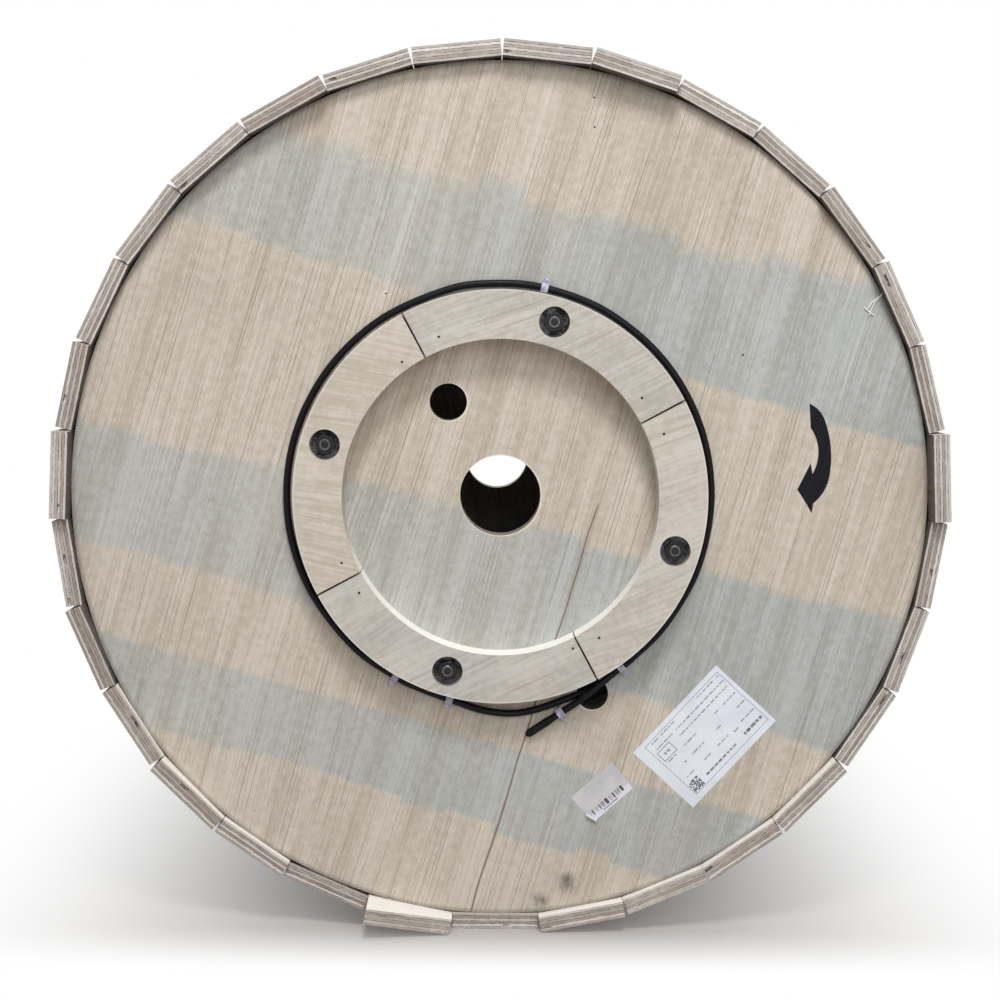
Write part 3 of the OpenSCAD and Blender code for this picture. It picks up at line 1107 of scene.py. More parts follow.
@dataclass(frozen=True)
class ClipFinish(Finish):
    """Milky plastic of the nail-in clips, scuffed on top."""

    name: str = "milky_clip"
    body: Colour = tint(192, 189, 208)
    scuff: Colour = tint(144, 141, 162)
    grime_scale: float = 120.0
    grime_share: float = 0.3
    rough: Pair = (0.34, 0.5)
    relief: float = 0.06 * MM
    milk: float = 0.25
    milk_depth: float = 2 * MM

    def wire(self, plastic: Surface, /) -> None:
        """Wire the material.

        Args:
            plastic: The material.
        """
        place = plastic.local()
        cloud = plastic.noise(place, 240.0, 3.0, 0.6)
        grime = plastic.effect(GRIME, {"Place": place, "Scale": self.grime_scale})
        colour = plastic.ramp(cloud, ((0.35, self.scuff), (0.6, self.body)))
        scuffed = plastic.math("MULTIPLY", grime["Blot"], self.grime_share)
        colour = plastic.blend(scuffed, colour, self.scuff)
        plastic.dress(colour, plastic.spread(cloud, 0.3, 0.7, *self.rough), cloud, self.relief)
        plastic.set(Subsurface_Weight=self.milk, Subsurface_Scale=self.milk_depth)


@dataclass(frozen=True)
class PrintFinish(Finish):
    """Printed label stock, whose print and cover each face of the piece states.

    Attributes:
        sheet: Colour of the bare stock.
        shade: Colour of the stock in the low parts of its waves, a painted shade.
        ink: Colour of the print.
        strip: Colour of a strip that is printed white, where the ink is below nothing.
        rough: Roughness of the stock.
        relief: How deep its waves are, in metres.
    """

    sheet: Colour
    shade: Colour
    ink: Colour = tint(44, 46, 58)
    strip: Colour = tint(232, 230, 243)
    rough: float = 0.5
    relief: float = 0.2 * MM

    def wire(self, stock: Surface, /) -> None:
        """Wire the material.

        Args:
            stock: The material.
        """
        place = stock.local()
        cloud = stock.noise(place, 34.0, 4.0, 0.55)
        fibre = stock.noise(place, 1100.0, 2.0)
        ink = stock.attribute(Sheet.INK_LAYER, "Fac")
        bare = stock.ramp(cloud, ((0.34, self.shade), (0.62, self.sheet)))
        bare = stock.blend(stock.spread(ink, -1.0, 0.0, 1.0, 0.0), bare, self.strip)
        dark = stock.math("MAXIMUM", ink, 0.0)
        printed = stock.math("MULTIPLY", dark, stock.spread(fibre, 0.3, 0.5, 0.7, 1.0))
        roughness = stock.spread(cloud, 0.3, 0.7, self.rough - 0.06, self.rough + 0.1)
        height = stock.math("MULTIPLY_ADD", fibre, 0.1, cloud)
        stock.dress(stock.blend(printed, bare, self.ink), roughness, height, self.relief)
        stock.feed(stock.shader.inputs["Alpha"], stock.attribute(Sheet.COVER_LAYER, "Fac"))


@dataclass(frozen=True)
class FibreFinish(Finish):
    """White fibre of the loose strands, with a little dirt on it."""

    name: str = "white_fibre"
    pale: Colour = tint(250, 250, 249)
    darkened: Colour = tint(228, 227, 224)
    rough: float = 0.55
    relief: float = 0.1 * MM

    def wire(self, fibre: Surface, /) -> None:
        """Wire the material.

        Args:
            fibre: The material.
        """
        cloud = fibre.noise(fibre.local(), 420.0, 3.0, 0.6)
        colour = fibre.ramp(cloud, ((0.34, self.darkened), (0.56, self.pale)))
        fibre.dress(colour, self.rough, cloud, self.relief)


@dataclass(frozen=True)
class PaintFinish(Finish):
    """Black stencil paint, soaked into the grain and missing in specks."""

    name: str = "stencil_black"
    grain: GrainScale = GrainScale(130.0, 2.2, 0.03)
    body: Colour = tint(25, 25, 31)
    worn: Colour = tint(44, 42, 46)
    worn_share: float = 0.5
    rough: Pair = (0.85, 0.7)
    relief: float = 0.1 * MM
    specular: float = 0.12
    speck_scale: float = 320.0

    def wire(self, paint: Surface, /) -> None:
        """Wire the material.

        Args:
            paint: The material.
        """
        place = paint.local(turn=(0.0, -VeneerFinish.lean, 0.0))
        grain = self.grain.at(paint, place)
        thin = paint.math("MULTIPLY", grain["Line"], self.worn_share)
        roughness = paint.spread(grain["Tone"], 0.0, 1.0, *self.rough)
        paint.dress(paint.blend(thin, self.body, self.worn), roughness, grain["Height"], self.relief)
        paint.set(Specular_IOR_Level=self.specular)
        specks = paint.noise(paint.local(), self.speck_scale, 2.0, 0.6)
        paint.feed(paint.shader.inputs["Alpha"], paint.spread(specks, 0.72, 0.75, 1.0, 0.0))


# Building of pieces

def build_piece(
    name: str,
    shape: bmesh.types.BMesh,
    material: Material,
    stands_for: Sequence[str] = (),
    smooth_to: float = math.radians(30.0),
) -> None:
    """Turn a finished bmesh into a piece of the drum.

    Args:
        name: Name of the piece.
        shape: The bmesh, in place; it is used up.
        material: What the piece is dressed in.
        stands_for: Nodes of the frame that the piece is shown for.
        smooth_to: Edges that turn by less than this angle are shaded smooth.
    """
    mesh = bpy.data.meshes.new(name)
    shape.to_mesh(mesh)
    shape.free()
    mesh.shade_smooth()
    mesh.set_sharp_from_angle(angle=smooth_to)
    mesh.materials.append(material)
    piece = bpy.data.objects.new(name, mesh)
    bpy.context.scene.collection.objects.link(piece)
    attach(piece, BODY)
    if stands_for:
        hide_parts(*stands_for)
    LOG.info("%s: %d faces", name, len(mesh.polygons))


def dress_node(name: str, material: Material) -> None:
    """Give a solid of the frame its material.

    Args:
        name: The node's name.
        material: The material.
    """
    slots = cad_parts[name].data.materials
    slots.clear()
    slots.append(material)
    LOG.info("%s: %s", name, material.name)


def add_nail(shape: bmesh.types.BMesh, place: Vector, axis: Vector, head_r: float, proud: float) -> None:
    """Drive a nail: a flat head with a rounded edge, standing a little proud.

    Args:
        shape: The bmesh that takes the nail.
        place: Where the nail enters the surface.
        axis: The way out of the surface.
        head_r: Radius of the head.
        proud: How far the head stands out.
    """
    head_t = 0.35 * head_r
    bevel = 0.25 * head_r
    top = proud - head_t / 9
    turn = Vector((0.0, 0.0, 1.0)).rotation_difference(axis).to_matrix().to_4x4()
    head = bmesh.ops.create_cone(
        shape, cap_ends=True, segments=12, radius1=head_r, radius2=head_r, depth=head_t,
        matrix=Matrix.Translation(place + axis * (proud - head_t / 2)) @ turn,
    )["verts"]
    edges = dict.fromkeys(edge for vert in head for edge in vert.link_edges)
    rim = [edge for edge in edges if all((vert.co - place).dot(axis) > top for vert in edge.verts)]
    bmesh.ops.bevel(shape, geom=rim, offset=bevel, segments=2, profile=0.5, affect="EDGES", material=-1)


def add_tube(shape: bmesh.types.BMesh, line: Sequence[Vector], radius: float, sides: int) -> None:
    """Sweep a round tube with closed ends along a line.

    Args:
        shape: The bmesh that takes the tube.
        line: Places along the tube's middle.
        radius: Radius of the tube.
        sides: How many sides the tube has.
    """
    data = bpy.data.curves.new("swept_line", "CURVE")
    data.dimensions = "3D"
    data.bevel_depth = radius
    data.bevel_resolution = sides // 2 - 2
    data.use_fill_caps = True
    spline = data.splines.new("POLY")
    spline.points.add(len(line) - 1)
    for point, place in zip(spline.points, line):
        point.co = (*place, 1.0)
    carrier = bpy.data.objects.new("swept_line", data)
    mesh = bpy.data.meshes.new_from_object(carrier)
    shape.from_mesh(mesh)
    bpy.data.objects.remove(carrier)
    bpy.data.curves.remove(data)
    bpy.data.meshes.remove(mesh)
    bmesh.ops.remove_doubles(shape, verts=shape.verts, dist=0.001 * MM)
    bmesh.ops.recalc_face_normals(shape, faces=shape.faces)


def arc(start: Pixel, via: Pixel, end: Pixel, steps: int) -> list[Pixel]:
    """Run an arc through three points.

    Args:
        start: Where it starts.
        via: A point on the way.
        end: Where it ends.
        steps: How many stretches it is made of.

    Returns:
        Points along the arc, both ends included.
    """
    first, second, third = (Vector(point) for point in (start, via, end))
    to_second, to_third = second - first, third - first
    double_area = 2 * to_second.cross(to_third)
    middle = first + Vector((
        to_third.y * to_second.length_squared - to_second.y * to_third.length_squared,
        to_second.x * to_third.length_squared - to_third.x * to_second.length_squared,
    )) / double_area
    spokes = [point - middle for point in (first, second, third)]
    turn = spokes[0].angle_signed(spokes[1]) + spokes[1].angle_signed(spokes[2])
    points = []
    for step in range(steps + 1):
        spoke = spokes[0].copy()
        spoke.rotate(Matrix.Rotation(-turn * step / steps, 2))
        points.append(tuple(middle + spoke))
    return points


class Sheet:
    """Thin flat layers on the front flange that make up one piece."""

    INK_LAYER = "ink"
    COVER_LAYER = "cover"
    GAP = 0.03 * MM

    def __init__(self) -> None:
        """Start with no layers."""
        self.shape = bmesh.new()
        self.ink = self.shape.faces.layers.float.new(self.INK_LAYER)
        self.cover = self.shape.faces.layers.float.new(self.COVER_LAYER)

    def add(
        self, outline: Sequence[Vector], low: float, high: float, ink: float = 0.0, cover: float = 1.0
    ) -> None:
        """Add a layer.

        Args:
            outline: Its corners, on the flange's face.
            low: How far its back lies off the face.
            high: How far its front lies off the face.
            ink: How dark it is printed.
            cover: How well it covers what is behind it.
        """
        verts = [self.shape.verts.new(spot + OUTWARD * (low + self.GAP)) for spot in outline]
        edges = [self.shape.edges.new(pair) for pair in zip(verts, [*verts[1:], verts[0]])]
        filled = bmesh.ops.triangle_fill(self.shape, edges=edges, use_beauty=True)["geom"]
        backs = [item for item in filled if isinstance(item, bmesh.types.BMFace)]
        grown = bmesh.ops.extrude_face_region(self.shape, geom=backs, use_keep_orig=True)["geom"]
        raised = [item for item in grown if isinstance(item, bmesh.types.BMVert)]
        bmesh.ops.translate(self.shape, verts=raised, vec=OUTWARD * (high - low))
        for vert in (*verts, *raised):
            for face in vert.link_faces:
                face[self.ink] = ink
                face[self.cover] = cover
        for face in backs:
            face[self.cover] = cover if cover == 1.0 else 0.0

    def finish(self, name: str, material: Material, slot: Slot) -> None:
        """Close the piece.

        Args:
            name: Name of the piece.
            material: What it is made of.
            slot: Not used.
        """
        bmesh.ops.recalc_face_normals(self.shape, faces=self.shape.faces)
        build_piece(name, self.shape, material)


# Sub-assemblies

@dataclass
class Flanges:
    """The two plywood flanges.

    Attributes:
        front_seams: Seams in the front veneer, as its finish takes them.
        stain_pixels: Where the reference view shows stains, and their radii.
        hole_pixels: Where it shows holes, their radii, and how much painted shade darkens their sides.
        back_lean: How far the back veneer leans from upright, in radians.
        back_shift: Where the back veneer's pattern starts, in metres.
    """

    front_seams: tuple[Triple, ...] = ((0.095, -0.43, 0.03),)
    stain_pixels: tuple[tuple[Pixel, float], ...] = (((540, 900), 12 * MM), ((568, 883), 15 * MM))
    hole_pixels: tuple[tuple[Pixel, float, float], ...] = (
        ((500.8, 495.6), 40 * MM, 0.3), ((449.1, 402.3), 18.5 * MM, 0.3), ((591.5, 694.0), 16 * MM, 0.9),
        ((385.3, 292.4), 1.0 * MM, 0.0),
    )
    back_lean: float = math.radians(-12.0)
    back_shift: Triple = (0.31, 0.0, 0.07)

    def dress(self) -> None:
        """Give each flange its veneer."""
        def spot(pixel: Pixel) -> Pair:
            """Find where a pixel lies on the front face, as X and Z."""
            place = VIEW.on_face(pixel, SIZES.face_y)
            return place.x, place.z

        front = VeneerFinish(
            "front_veneer",
            seams=self.front_seams,
            stains=tuple((*spot(pixel), radius) for pixel, radius in self.stain_pixels),
            holes=tuple((*spot(pixel), radius, shade_and_dirt) for pixel, radius, shade_and_dirt in self.hole_pixels),
        )
        back = VeneerFinish("back_veneer", lean=self.back_lean, shift=self.back_shift)
        dress_node("flange_front", front.make())
        dress_node("flange_back", back.make())


@dataclass
class HubRings:
    """The eight hub ring segments, each sawn from its own board, and their nails.

    Attributes:
        front_leans: How far each front segment's grain leans from upright, in degrees.
        back_leans: The same at the back.
        greys: How grey the segments have gone, on both sides.
        grain_step: How far apart the segments lie in the grain, in metres.
        nail_pixels: Where the reference view shows nails.
        nail_r: Radius of their heads.
        nail_proud: How far they stand out.
    """

    front_leans: tuple[float, ...] = (62.3, 102.0, 61.3, 67.3)
    back_leans: tuple[float, ...] = (40.0, 88.0, 70.0, 104.0)
    greys: tuple[float, ...] = (0.75, 0.0, 1.0, 0.5)
    grain_step: float = 0.37
    nail_pixels: tuple[Pixel, ...] = (
        (402, 362), (438.8, 336.8), (341.6, 563), (359, 593),
        (573, 648.5), (599, 638), (642, 398), (664, 434),
    )
    nail_r: float = 1.5 * MM
    nail_proud: float = 0.1 * MM

    def dress(self) -> None:
        """Give each segment its own wood."""
        for side, leans in (("front", self.front_leans), ("back", self.back_leans)):
            for number, (lean, grey) in enumerate(zip(leans, self.greys), start=1):
                name = f"hub_wood_{side}_{number}"
                finish = HubWoodFinish(name, math.radians(lean), grey, self.grain_step * number)
                dress_node(f"ring_{side}_{number}", finish.make())

    def build(self, steel: Material) -> None:
        """Drive the nails that hold the front ring.

        Args:
            steel: What the nails are made of.
        """
        shape = bmesh.new()
        ring_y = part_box("ring_front_1")[0].y
        for pixel in self.nail_pixels:
            add_nail(shape, VIEW.on_face(pixel, ring_y), OUTWARD, self.nail_r, self.nail_proud)
        build_piece("ring_nails", shape, steel)


@dataclass
class Hardware:
    """Tie rods with their washers and nuts."""

    thread_pitch: float = 1.75 * MM
    core_r: float = 4.2 * MM

    def dress(self) -> None:
        """Give the rods, washers and nuts their steel."""
        washer = SteelFinish("dirty_washer", tint(84, 82, 83), tint(40, 37, 36), worn=0.5).make()
        nut = SteelFinish("dark_nut", tint(46, 45, 46), tint(26, 25, 25), worn=0.4).make()
        for number in range(1, 5):
            low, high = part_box(f"tie_rod_{number}")
            middle = (low + high) / 2
            rod = SteelFinish(
                f"threaded_rod_{number}", tint(96, 94, 93), tint(26, 24, 24), worn=0.8,
                thread=self.thread_pitch, core=(middle.x, middle.z, self.core_r),
            )
            dress_node(f"tie_rod_{number}", rod.make())
        for side in ("front", "back"):
            dress_node(f"washers_{side}", washer)
            dress_node(f"nuts_{side}", nut)


@dataclass
class Board:
    """Place of one stave, read from its solid, in a board frame of across, along and outwards.

    Attributes:
        name: Name of the stave's node.
        outward: The way out of the drum.
        across: The way across the board.
        inner: How far the inner face lies from the drum's axis.
        outer: How far the outer face lies from it.
        sides: Where its two long sides lie across the board.
        front: Where the front end lies along Y, at each side.
        back: Where the back end lies along Y, at each side.
    """

    name: str
    outward: Vector
    across: Vector
    inner: float
    outer: float
    sides: Pair
    front: Pair
    back: Pair

    @classmethod
    def from_node(cls, name: str) -> "Board":
        """Measure a stave of the frame.

        Args:
            name: The stave's node.

        Returns:
            The board's place.
        """
        corners = [vertex.co.copy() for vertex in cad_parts[name].data.vertices]
        middle = sum(corners, Vector()) / len(corners)
        outward = Vector((middle.x, 0.0, middle.z)).normalized()
        across = Vector((0.0, 1.0, 0.0)).cross(outward)
        depths = [corner.dot(outward) for corner in corners]
        places = [corner.dot(across) for corner in corners]
        centre = (min(places) + max(places)) / 2

        def end(side: int, facing: Side) -> float:
            """Find how far one corner reaches along Y."""
            reach = [
                corner.y for corner, place in zip(corners, places)
                if (place - centre) * side > 0 and corner.y * facing.value > 0
            ]
            return sum(reach) / len(reach)

        return cls(
            name, outward, across, min(depths), max(depths), (min(places), max(places)),
            (end(-1, Side.FRONT), end(1, Side.FRONT)), (end(-1, Side.BACK), end(1, Side.BACK)),
        )

    def matrix(self) -> Matrix:
        """Give the turn from the board frame to the drum's frame."""
        return Matrix((self.across, Vector((0.0, 1.0, 0.0)), self.outward)).transposed().to_4x4()


@dataclass(frozen=True)
class PlyLayers:
    """Attribute layers of one stave's bmesh: place and depth of its vertices, tones of its faces, and marks
    for painted shade, real dirt and painted highlight on its inner faces.
    """

    place: bmesh.types.BMLayerItem
    depth: bmesh.types.BMLayerItem
    tone: bmesh.types.BMLayerItem
    face: bmesh.types.BMLayerItem
    shade_and_dirt: bmesh.types.BMLayerItem


@dataclass
class Lagging:
    """The staves as stacks of plies with ragged sawn ends, and the nails that hold them.

    Attributes:
        ply_shares: Thickness of each ply, from the inner face out, as a share of the board's.
        ply_tones: How pale each ply is.
        tone_spread: How far a ply's tone strays.
        stave_spread: How far a whole stave's tone strays.
        grain_shift: How far apart the staves' grain may start, across, along and outwards.
        columns: How many columns a ply's end is torn in.
        glue_gap: Open joint between two plies.
        ragged: How rough an end is.
        step_back: How far a whole ply may end short of the others.
        whole_share: How much of that a face veneer may.
        void_depth: Least and most depth of a hole in a ply's end.
        void_chance: How often there is one.
        void_width: Least and most width of it, in columns.
        painted_highlight_below: The inner faces of staves that point further down than this get a painted
            highlight; the others get painted shade.
        darkened: Staves down there whose inner faces take the dark colour all the same, as real dirt.
        smooth_to: Edges of a board that turn by less than this angle are shaded smooth.
        nail_r: Radius of the nails' heads.
        nail_proud: How far they stand out.
        nail_share: How far from a board's middle they are, as a share of its width.
        nail_stray: How far they stray, across and along the board.
        rng: Source of all that is uneven.
    """

    ply_shares: tuple[float, ...] = (0.15, 0.19, 0.16, 0.18, 0.16, 0.16)
    ply_tones: tuple[float, ...] = (0.70, 0.40, 0.62, 0.42, 0.76, 0.56)
    tone_spread: float = 0.12
    stave_spread: float = 0.07
    grain_shift: Triple = (9.0, 9.0, 0.02)
    columns: int = 28
    glue_gap: float = 0.06 * MM
    ragged: float = 0.3 * MM
    step_back: float = 0.5 * MM
    whole_share: float = 0.3
    void_depth: Pair = (1.5 * MM, 4.0 * MM)
    void_chance: float = 0.16
    void_width: tuple[int, int] = (1, 3)
    painted_highlight_below: float = -0.5
    darkened: tuple[str, ...] = ("stave_06", "stave_30")
    smooth_to: float = math.radians(20.0)
    nail_r: float = 3.2 * MM
    nail_proud: float = 0.1 * MM
    nail_share: float = 0.29
    nail_stray: Pair = (3 * MM, 4 * MM)
    rng: random.Random = field(default_factory=lambda: random.Random(31))

    PLACE_LAYER = "board_place"
    DEPTH_LAYER = "ply_depth"
    TONE_LAYER = "ply_tone"
    FACE_LAYER = "face_veneer"
    SHADING_LAYER = "inner_shading_and_dirt"

    def build(self, wood: Material, steel: Material) -> None:
        """Build every stave and its nails.

        Args:
            wood: What the staves are made of.
            steel: What the nails are made of.
        """
        names = sorted(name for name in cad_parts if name.startswith("stave_"))
        nails = bmesh.new()
        for name in names:
            board = Board.from_node(name)
            stave = self.stack(board)
            build_piece(f"lagging_{name}", stave, wood, (name,), self.smooth_to)
            self.drive_nails(nails, board)
        build_piece("lagging_nails", nails, steel)

    def stack(self, board: Board) -> bmesh.types.BMesh:
        """Stack one stave from its plies.

        Args:
            board: The stave's place.

        Returns:
            The stave's bmesh, in place.
        """
        shape = bmesh.new()
        layers = PlyLayers(
            shape.verts.layers.float_vector.new(self.PLACE_LAYER),
            shape.verts.layers.float.new(self.DEPTH_LAYER),
            shape.faces.layers.float.new(self.TONE_LAYER),
            shape.faces.layers.float.new(self.FACE_LAYER),
            shape.faces.layers.float.new(self.SHADING_LAYER),
        )
        offset = Vector([self.rng.uniform(0, most) for most in self.grain_shift])
        stave_tone = self.rng.uniform(-self.stave_spread, self.stave_spread)
        bmesh.ops.create_cube(shape, size=1.0)
        runs = [edge for edge in shape.edges if abs(edge.verts[0].co.x - edge.verts[1].co.x) > 0.5]
        bmesh.ops.subdivide_edges(shape, edges=runs, cuts=self.columns - 1, use_grid_fill=True)
        blank = [*shape.verts, *shape.edges, *shape.faces]
        low = board.inner
        last = len(self.ply_shares) - 1
        for number, (share, ply_tone) in enumerate(zip(self.ply_shares, self.ply_tones)):
            high = low + share * (board.outer - board.inner)
            faced = number in (0, last)
            tone = stave_tone + ply_tone + self.rng.uniform(-self.tone_spread, self.tone_spread)
            top = high if number == last else high - self.glue_gap
            copied = bmesh.ops.duplicate(shape, geom=blank)["geom"]
            self.shape_ply(copied, layers, board, (low, top), tone, offset, faced)
            low = high
        spent = [item for item in blank if isinstance(item, bmesh.types.BMVert)]
        bmesh.ops.delete(shape, geom=spent, context="VERTS")
        bmesh.ops.recalc_face_normals(shape, faces=shape.faces)
        bmesh.ops.transform(shape, matrix=board.matrix(), verts=shape.verts)
        return shape

    def shape_ply(
        self,
        blank: Sequence[Element],
        layers: PlyLayers,
        board: Board,
        span: Pair,
        tone: float,
        offset: Vector,
        faced: bool,
    ) -> None:
        """Shape a blank into one ply of a stave, its ends torn a little by the saw.

        Args:
            blank: A unit cube cut into columns, in the board frame.
            layers: The stave's attribute layers.
            board: The stave's place.
            span: How far the ply's two faces lie from the drum's axis.
            tone: How pale the ply is.
            offset: Shift of the stave's grain.
            faced: Whether the ply is one of the two face veneers.
        """
        pulls = {Side.FRONT: self.end_pulls(faced), Side.BACK: self.end_pulls(faced)}
        # Inner face veneers get painted shade (1) where the stave points up or sideways and a painted
        # highlight (-1) where it points down; the listed low staves take the dark colour as real dirt.
        dimmed = board.outward.z > self.painted_highlight_below or board.name in self.darkened
        for face in (item for item in blank if isinstance(item, bmesh.types.BMFace)):
            face[layers.tone] = tone
            face[layers.face] = 1.0 if faced and abs(face.normal.z) > 0.5 else 0.0
            inner = faced and face.normal.z < -0.5
            face[layers.shade_and_dirt] = (1.0 if dimmed else -1.0) if inner else 0.0
        for vert in (item for item in blank if isinstance(item, bmesh.types.BMVert)):
            side = Side.FRONT if vert.co.y < 0 else Side.BACK
            share = vert.co.x + 0.5
            line = board.front if side is Side.FRONT else board.back
            end = line[0] + share * (line[1] - line[0])
            pull = pulls[side][round(share * self.columns)]
            across = board.sides[0] + share * (board.sides[1] - board.sides[0])
            out = span[0] if vert.co.z < 0 else span[1]
            vert[layers.depth] = vert.co.z + 0.5
            vert.co = Vector((across, end - side.value * pull, out))
            vert[layers.place] = vert.co + offset

    def end_pulls(self, faced: bool) -> list[float]:
        """Draw how far a ply's end is torn back, column by column.

        Args:
            faced: Whether the ply is a face veneer, which stays nearly whole.

        Returns:
            The distances in metres.
        """
        base = self.rng.uniform(0.0, self.whole_share if faced else 1.0) * self.step_back
        pulls = [base + self.rng.uniform(0.0, self.ragged) for _ in range(self.columns + 1)]
        if not faced and self.rng.random() < self.void_chance:
            width = self.rng.randint(*self.void_width)
            start = self.rng.randint(0, self.columns - width)
            for column in range(start, start + width + 1):
                pulls[column] += self.rng.uniform(*self.void_depth)
        return pulls

    def drive_nails(self, shape: bmesh.types.BMesh, board: Board) -> None:
        """Nail one stave to both flange rims.

        Args:
            shape: The bmesh that takes the nails.
            board: The stave's place.
        """
        matrix = board.matrix()
        middle = (board.sides[0] + board.sides[1]) / 2
        width = board.sides[1] - board.sides[0]
        aside, ahead = self.nail_stray
        for side in Side:
            for way in (-1, 1):
                across = middle + way * self.nail_share * width + self.rng.uniform(-aside, aside)
                along = -side.value * SIZES.flange_mid_y + self.rng.uniform(-ahead, ahead)
                place = matrix @ Vector((across, along, board.outer))
                add_nail(shape, place, board.outward, self.nail_r, self.nail_proud)


@dataclass
class CableEnd:
    """The inner end of the cable, clipped round the hub ring, with its cap and clip nails.

    Attributes:
        route: Turn round the drum in degrees, distance out from the ring and lift off the flange, in mm.
        turned: How far the whole route is turned, in degrees.
        clip_points: Which points of the route the clips hold.
        radius: Radius of the cable.
        sides: How many sides it has.
        steps: How many steps it takes from point to point.
        cap_r: Radius of the cap.
        cap_back: How far the cap reaches back over the cable.
        cap_beyond: How far it reaches beyond the cable's end.
        cap_play: How far its lip stands off the cable.
        lip: Length of its lip.
        boss_out: How far the boss of a clip lies beside the cable.
        boss_top: How high it stands off the flange.
        nail_r: Radius of a clip nail's head.
        nail_proud: How far that stands out.
    """

    route: tuple[Triple, ...] = (
        (297.7, 13.6, -24.6), (297.6, 13.6, -20.6), (296.9, 13.2, -13), (295.8, 12.6, -6.4),
        (294.3, 12, -1.2), (292.2, 11.6, 2.7), (289.7, 11.2, 4.2), (286, 11.8, 4.2),
        (280, 14.4, 4.2), (273, 16, 4.2),
        (265, 13, 4.2), (256, 7.4, 4.2), (248, 6.2, 4.2), (240, 6.2, 4.2), (225, 7.2, 4.2),
        (205, 8, 4.2), (185, 8.4, 4.2), (165, 8.2, 4.2), (145, 7.4, 4.2), (125, 6.8, 4.2),
        (105, 6.4, 4.2), (92, 6.2, 4.2), (78, 6.2, 4.2), (60, 6.2, 4.2), (40, 6.2, 4.2),
        (20, 6.2, 4.2), (0, 6.2, 4.2), (-20, 6.2, 4.2), (-38, 6.2, 4.2), (-51, 6.5, 4.2),
        (-55, 7, 4.2), (-59, 8.4, 5.6), (-63, 10.8, 8.6), (-67, 14.2, 10.6), (-71, 18.6, 8.8),
        (-74.6, 22.6, 7.4), (-77.2, 26.6, 6.2), (-79.85, 31.2, 5.5), (-82.4, 36.2, 4.8),
    )
    turned: float = 0.7
    clip_points: tuple[int, ...] = (11, 13, 22, 30, 35)
    radius: float = 3.6 * MM
    sides: int = 16
    steps: int = 10
    cap_r: float = 4.1 * MM
    cap_back: float = 22.5 * MM
    cap_beyond: float = 7.5 * MM
    cap_play: float = 0.1 * MM
    lip: float = 0.5 * MM
    boss_out: float = 7.45 * MM
    boss_top: float = 5.0 * MM
    nail_r: float = 1.3 * MM
    nail_proud: float = 0.4 * MM

    def points(self) -> list[Vector]:
        """Give the route's own points on the drum."""
        places = []
        for turn, out, lift in self.route:
            reach = SIZES.ring_r + out * MM
            angle = math.radians(turn + self.turned)
            y = SIZES.face_y - lift * MM
            places.append(Vector((reach * math.cos(angle), y, reach * math.sin(angle))))
        return places

    def curve(self) -> list[Vector]:
        """Run a smooth line through the route's points.

        Returns:
            Places close together along the cable.
        """
        places = self.points()
        last = len(places) - 1
        slopes = [(places[min(i + 1, last)] - places[max(i - 1, 0)]) / 2 for i in range(last + 1)]
        line = []
        for i in range(last):
            for step in range(self.steps):
                s = step / self.steps
                q, c = s * s, s * s * s
                line.append(
                    places[i] * (2 * c - 3 * q + 1) + slopes[i] * (c - 2 * q + s)
                    + places[i + 1] * (3 * q - 2 * c) + slopes[i + 1] * (c - q)
                )
        return [*line, places[last]]

    def build(self, jacket: Material, shrink: Material, steel: Material) -> None:
        """Build the cable, its cap and the nails of its clips.

        Args:
            jacket: What the cable is covered with.
            shrink: What the cap is made of.
            steel: What the nails are made of.
        """
        cable = bmesh.new()
        add_tube(cable, self.curve(), self.radius, self.sides)
        build_piece("cable_end", cable, jacket, ("cable_tail",), ROUND_ANGLE)
        build_piece("cable_end_cap", self.cap(), shrink, ("tail_cap",), ROUND_ANGLE)
        nails = bmesh.new()
        places = self.points()
        for point in self.clip_points:
            heading = places[point + 1] - places[point - 1]
            out = heading.cross(-OUTWARD).normalized()
            foot = Vector((places[point].x, SIZES.face_y - self.boss_top, places[point].z))
            add_nail(nails, foot + out * self.boss_out, OUTWARD, self.nail_r, self.nail_proud)
        build_piece("clip_nails", nails, steel)

    def cap(self) -> bmesh.types.BMesh:
        """Turn the shrunk cap: a sleeve with a lip, which closes to a round tip beyond the cable's end.

        Returns:
            The cap's bmesh, in place.
        """
        back, tip, full = -self.cap_back, self.cap_beyond, self.cap_r
        profile = (
            (back, self.radius + self.cap_play), (back + self.lip, 0.92 * full), (0.8 * back, full),
            (0.25 * back, 0.99 * full), (0.0, full), (0.35 * tip, 0.97 * full),
            (0.65 * tip, 0.8 * full), (0.88 * tip, 0.5 * full), (tip, 0.0),
        )
        shape = bmesh.new()
        verts = [shape.verts.new((out, 0.0, along)) for along, out in profile]
        edges = [shape.edges.new(pair) for pair in zip(verts, verts[1:])]
        bmesh.ops.spin(
            shape, geom=[*verts, *edges], cent=(0, 0, 0), axis=(0, 0, 1), angle=2 * math.pi, steps=24,
            use_merge=True,
        )
        bmesh.ops.remove_doubles(shape, verts=shape.verts, dist=0.01 * MM)
        bmesh.ops.recalc_face_normals(shape, faces=shape.faces)
        places = self.points()
        heading = places[-1] - places[-2]
        turn = Vector((0, 0, 1)).rotation_difference(heading.normalized()).to_matrix().to_4x4()
        bmesh.ops.transform(shape, matrix=Matrix.Translation(places[-1]) @ turn, verts=shape.verts)
        return shape

    def dress(self, plastic: Material) -> None:
        """Give the clips their plastic.

        Args:
            plastic: What the clips are made of.
        """
        for number in range(1, len(self.clip_points) + 1):
            dress_node(f"cable_clip_{number}", plastic)


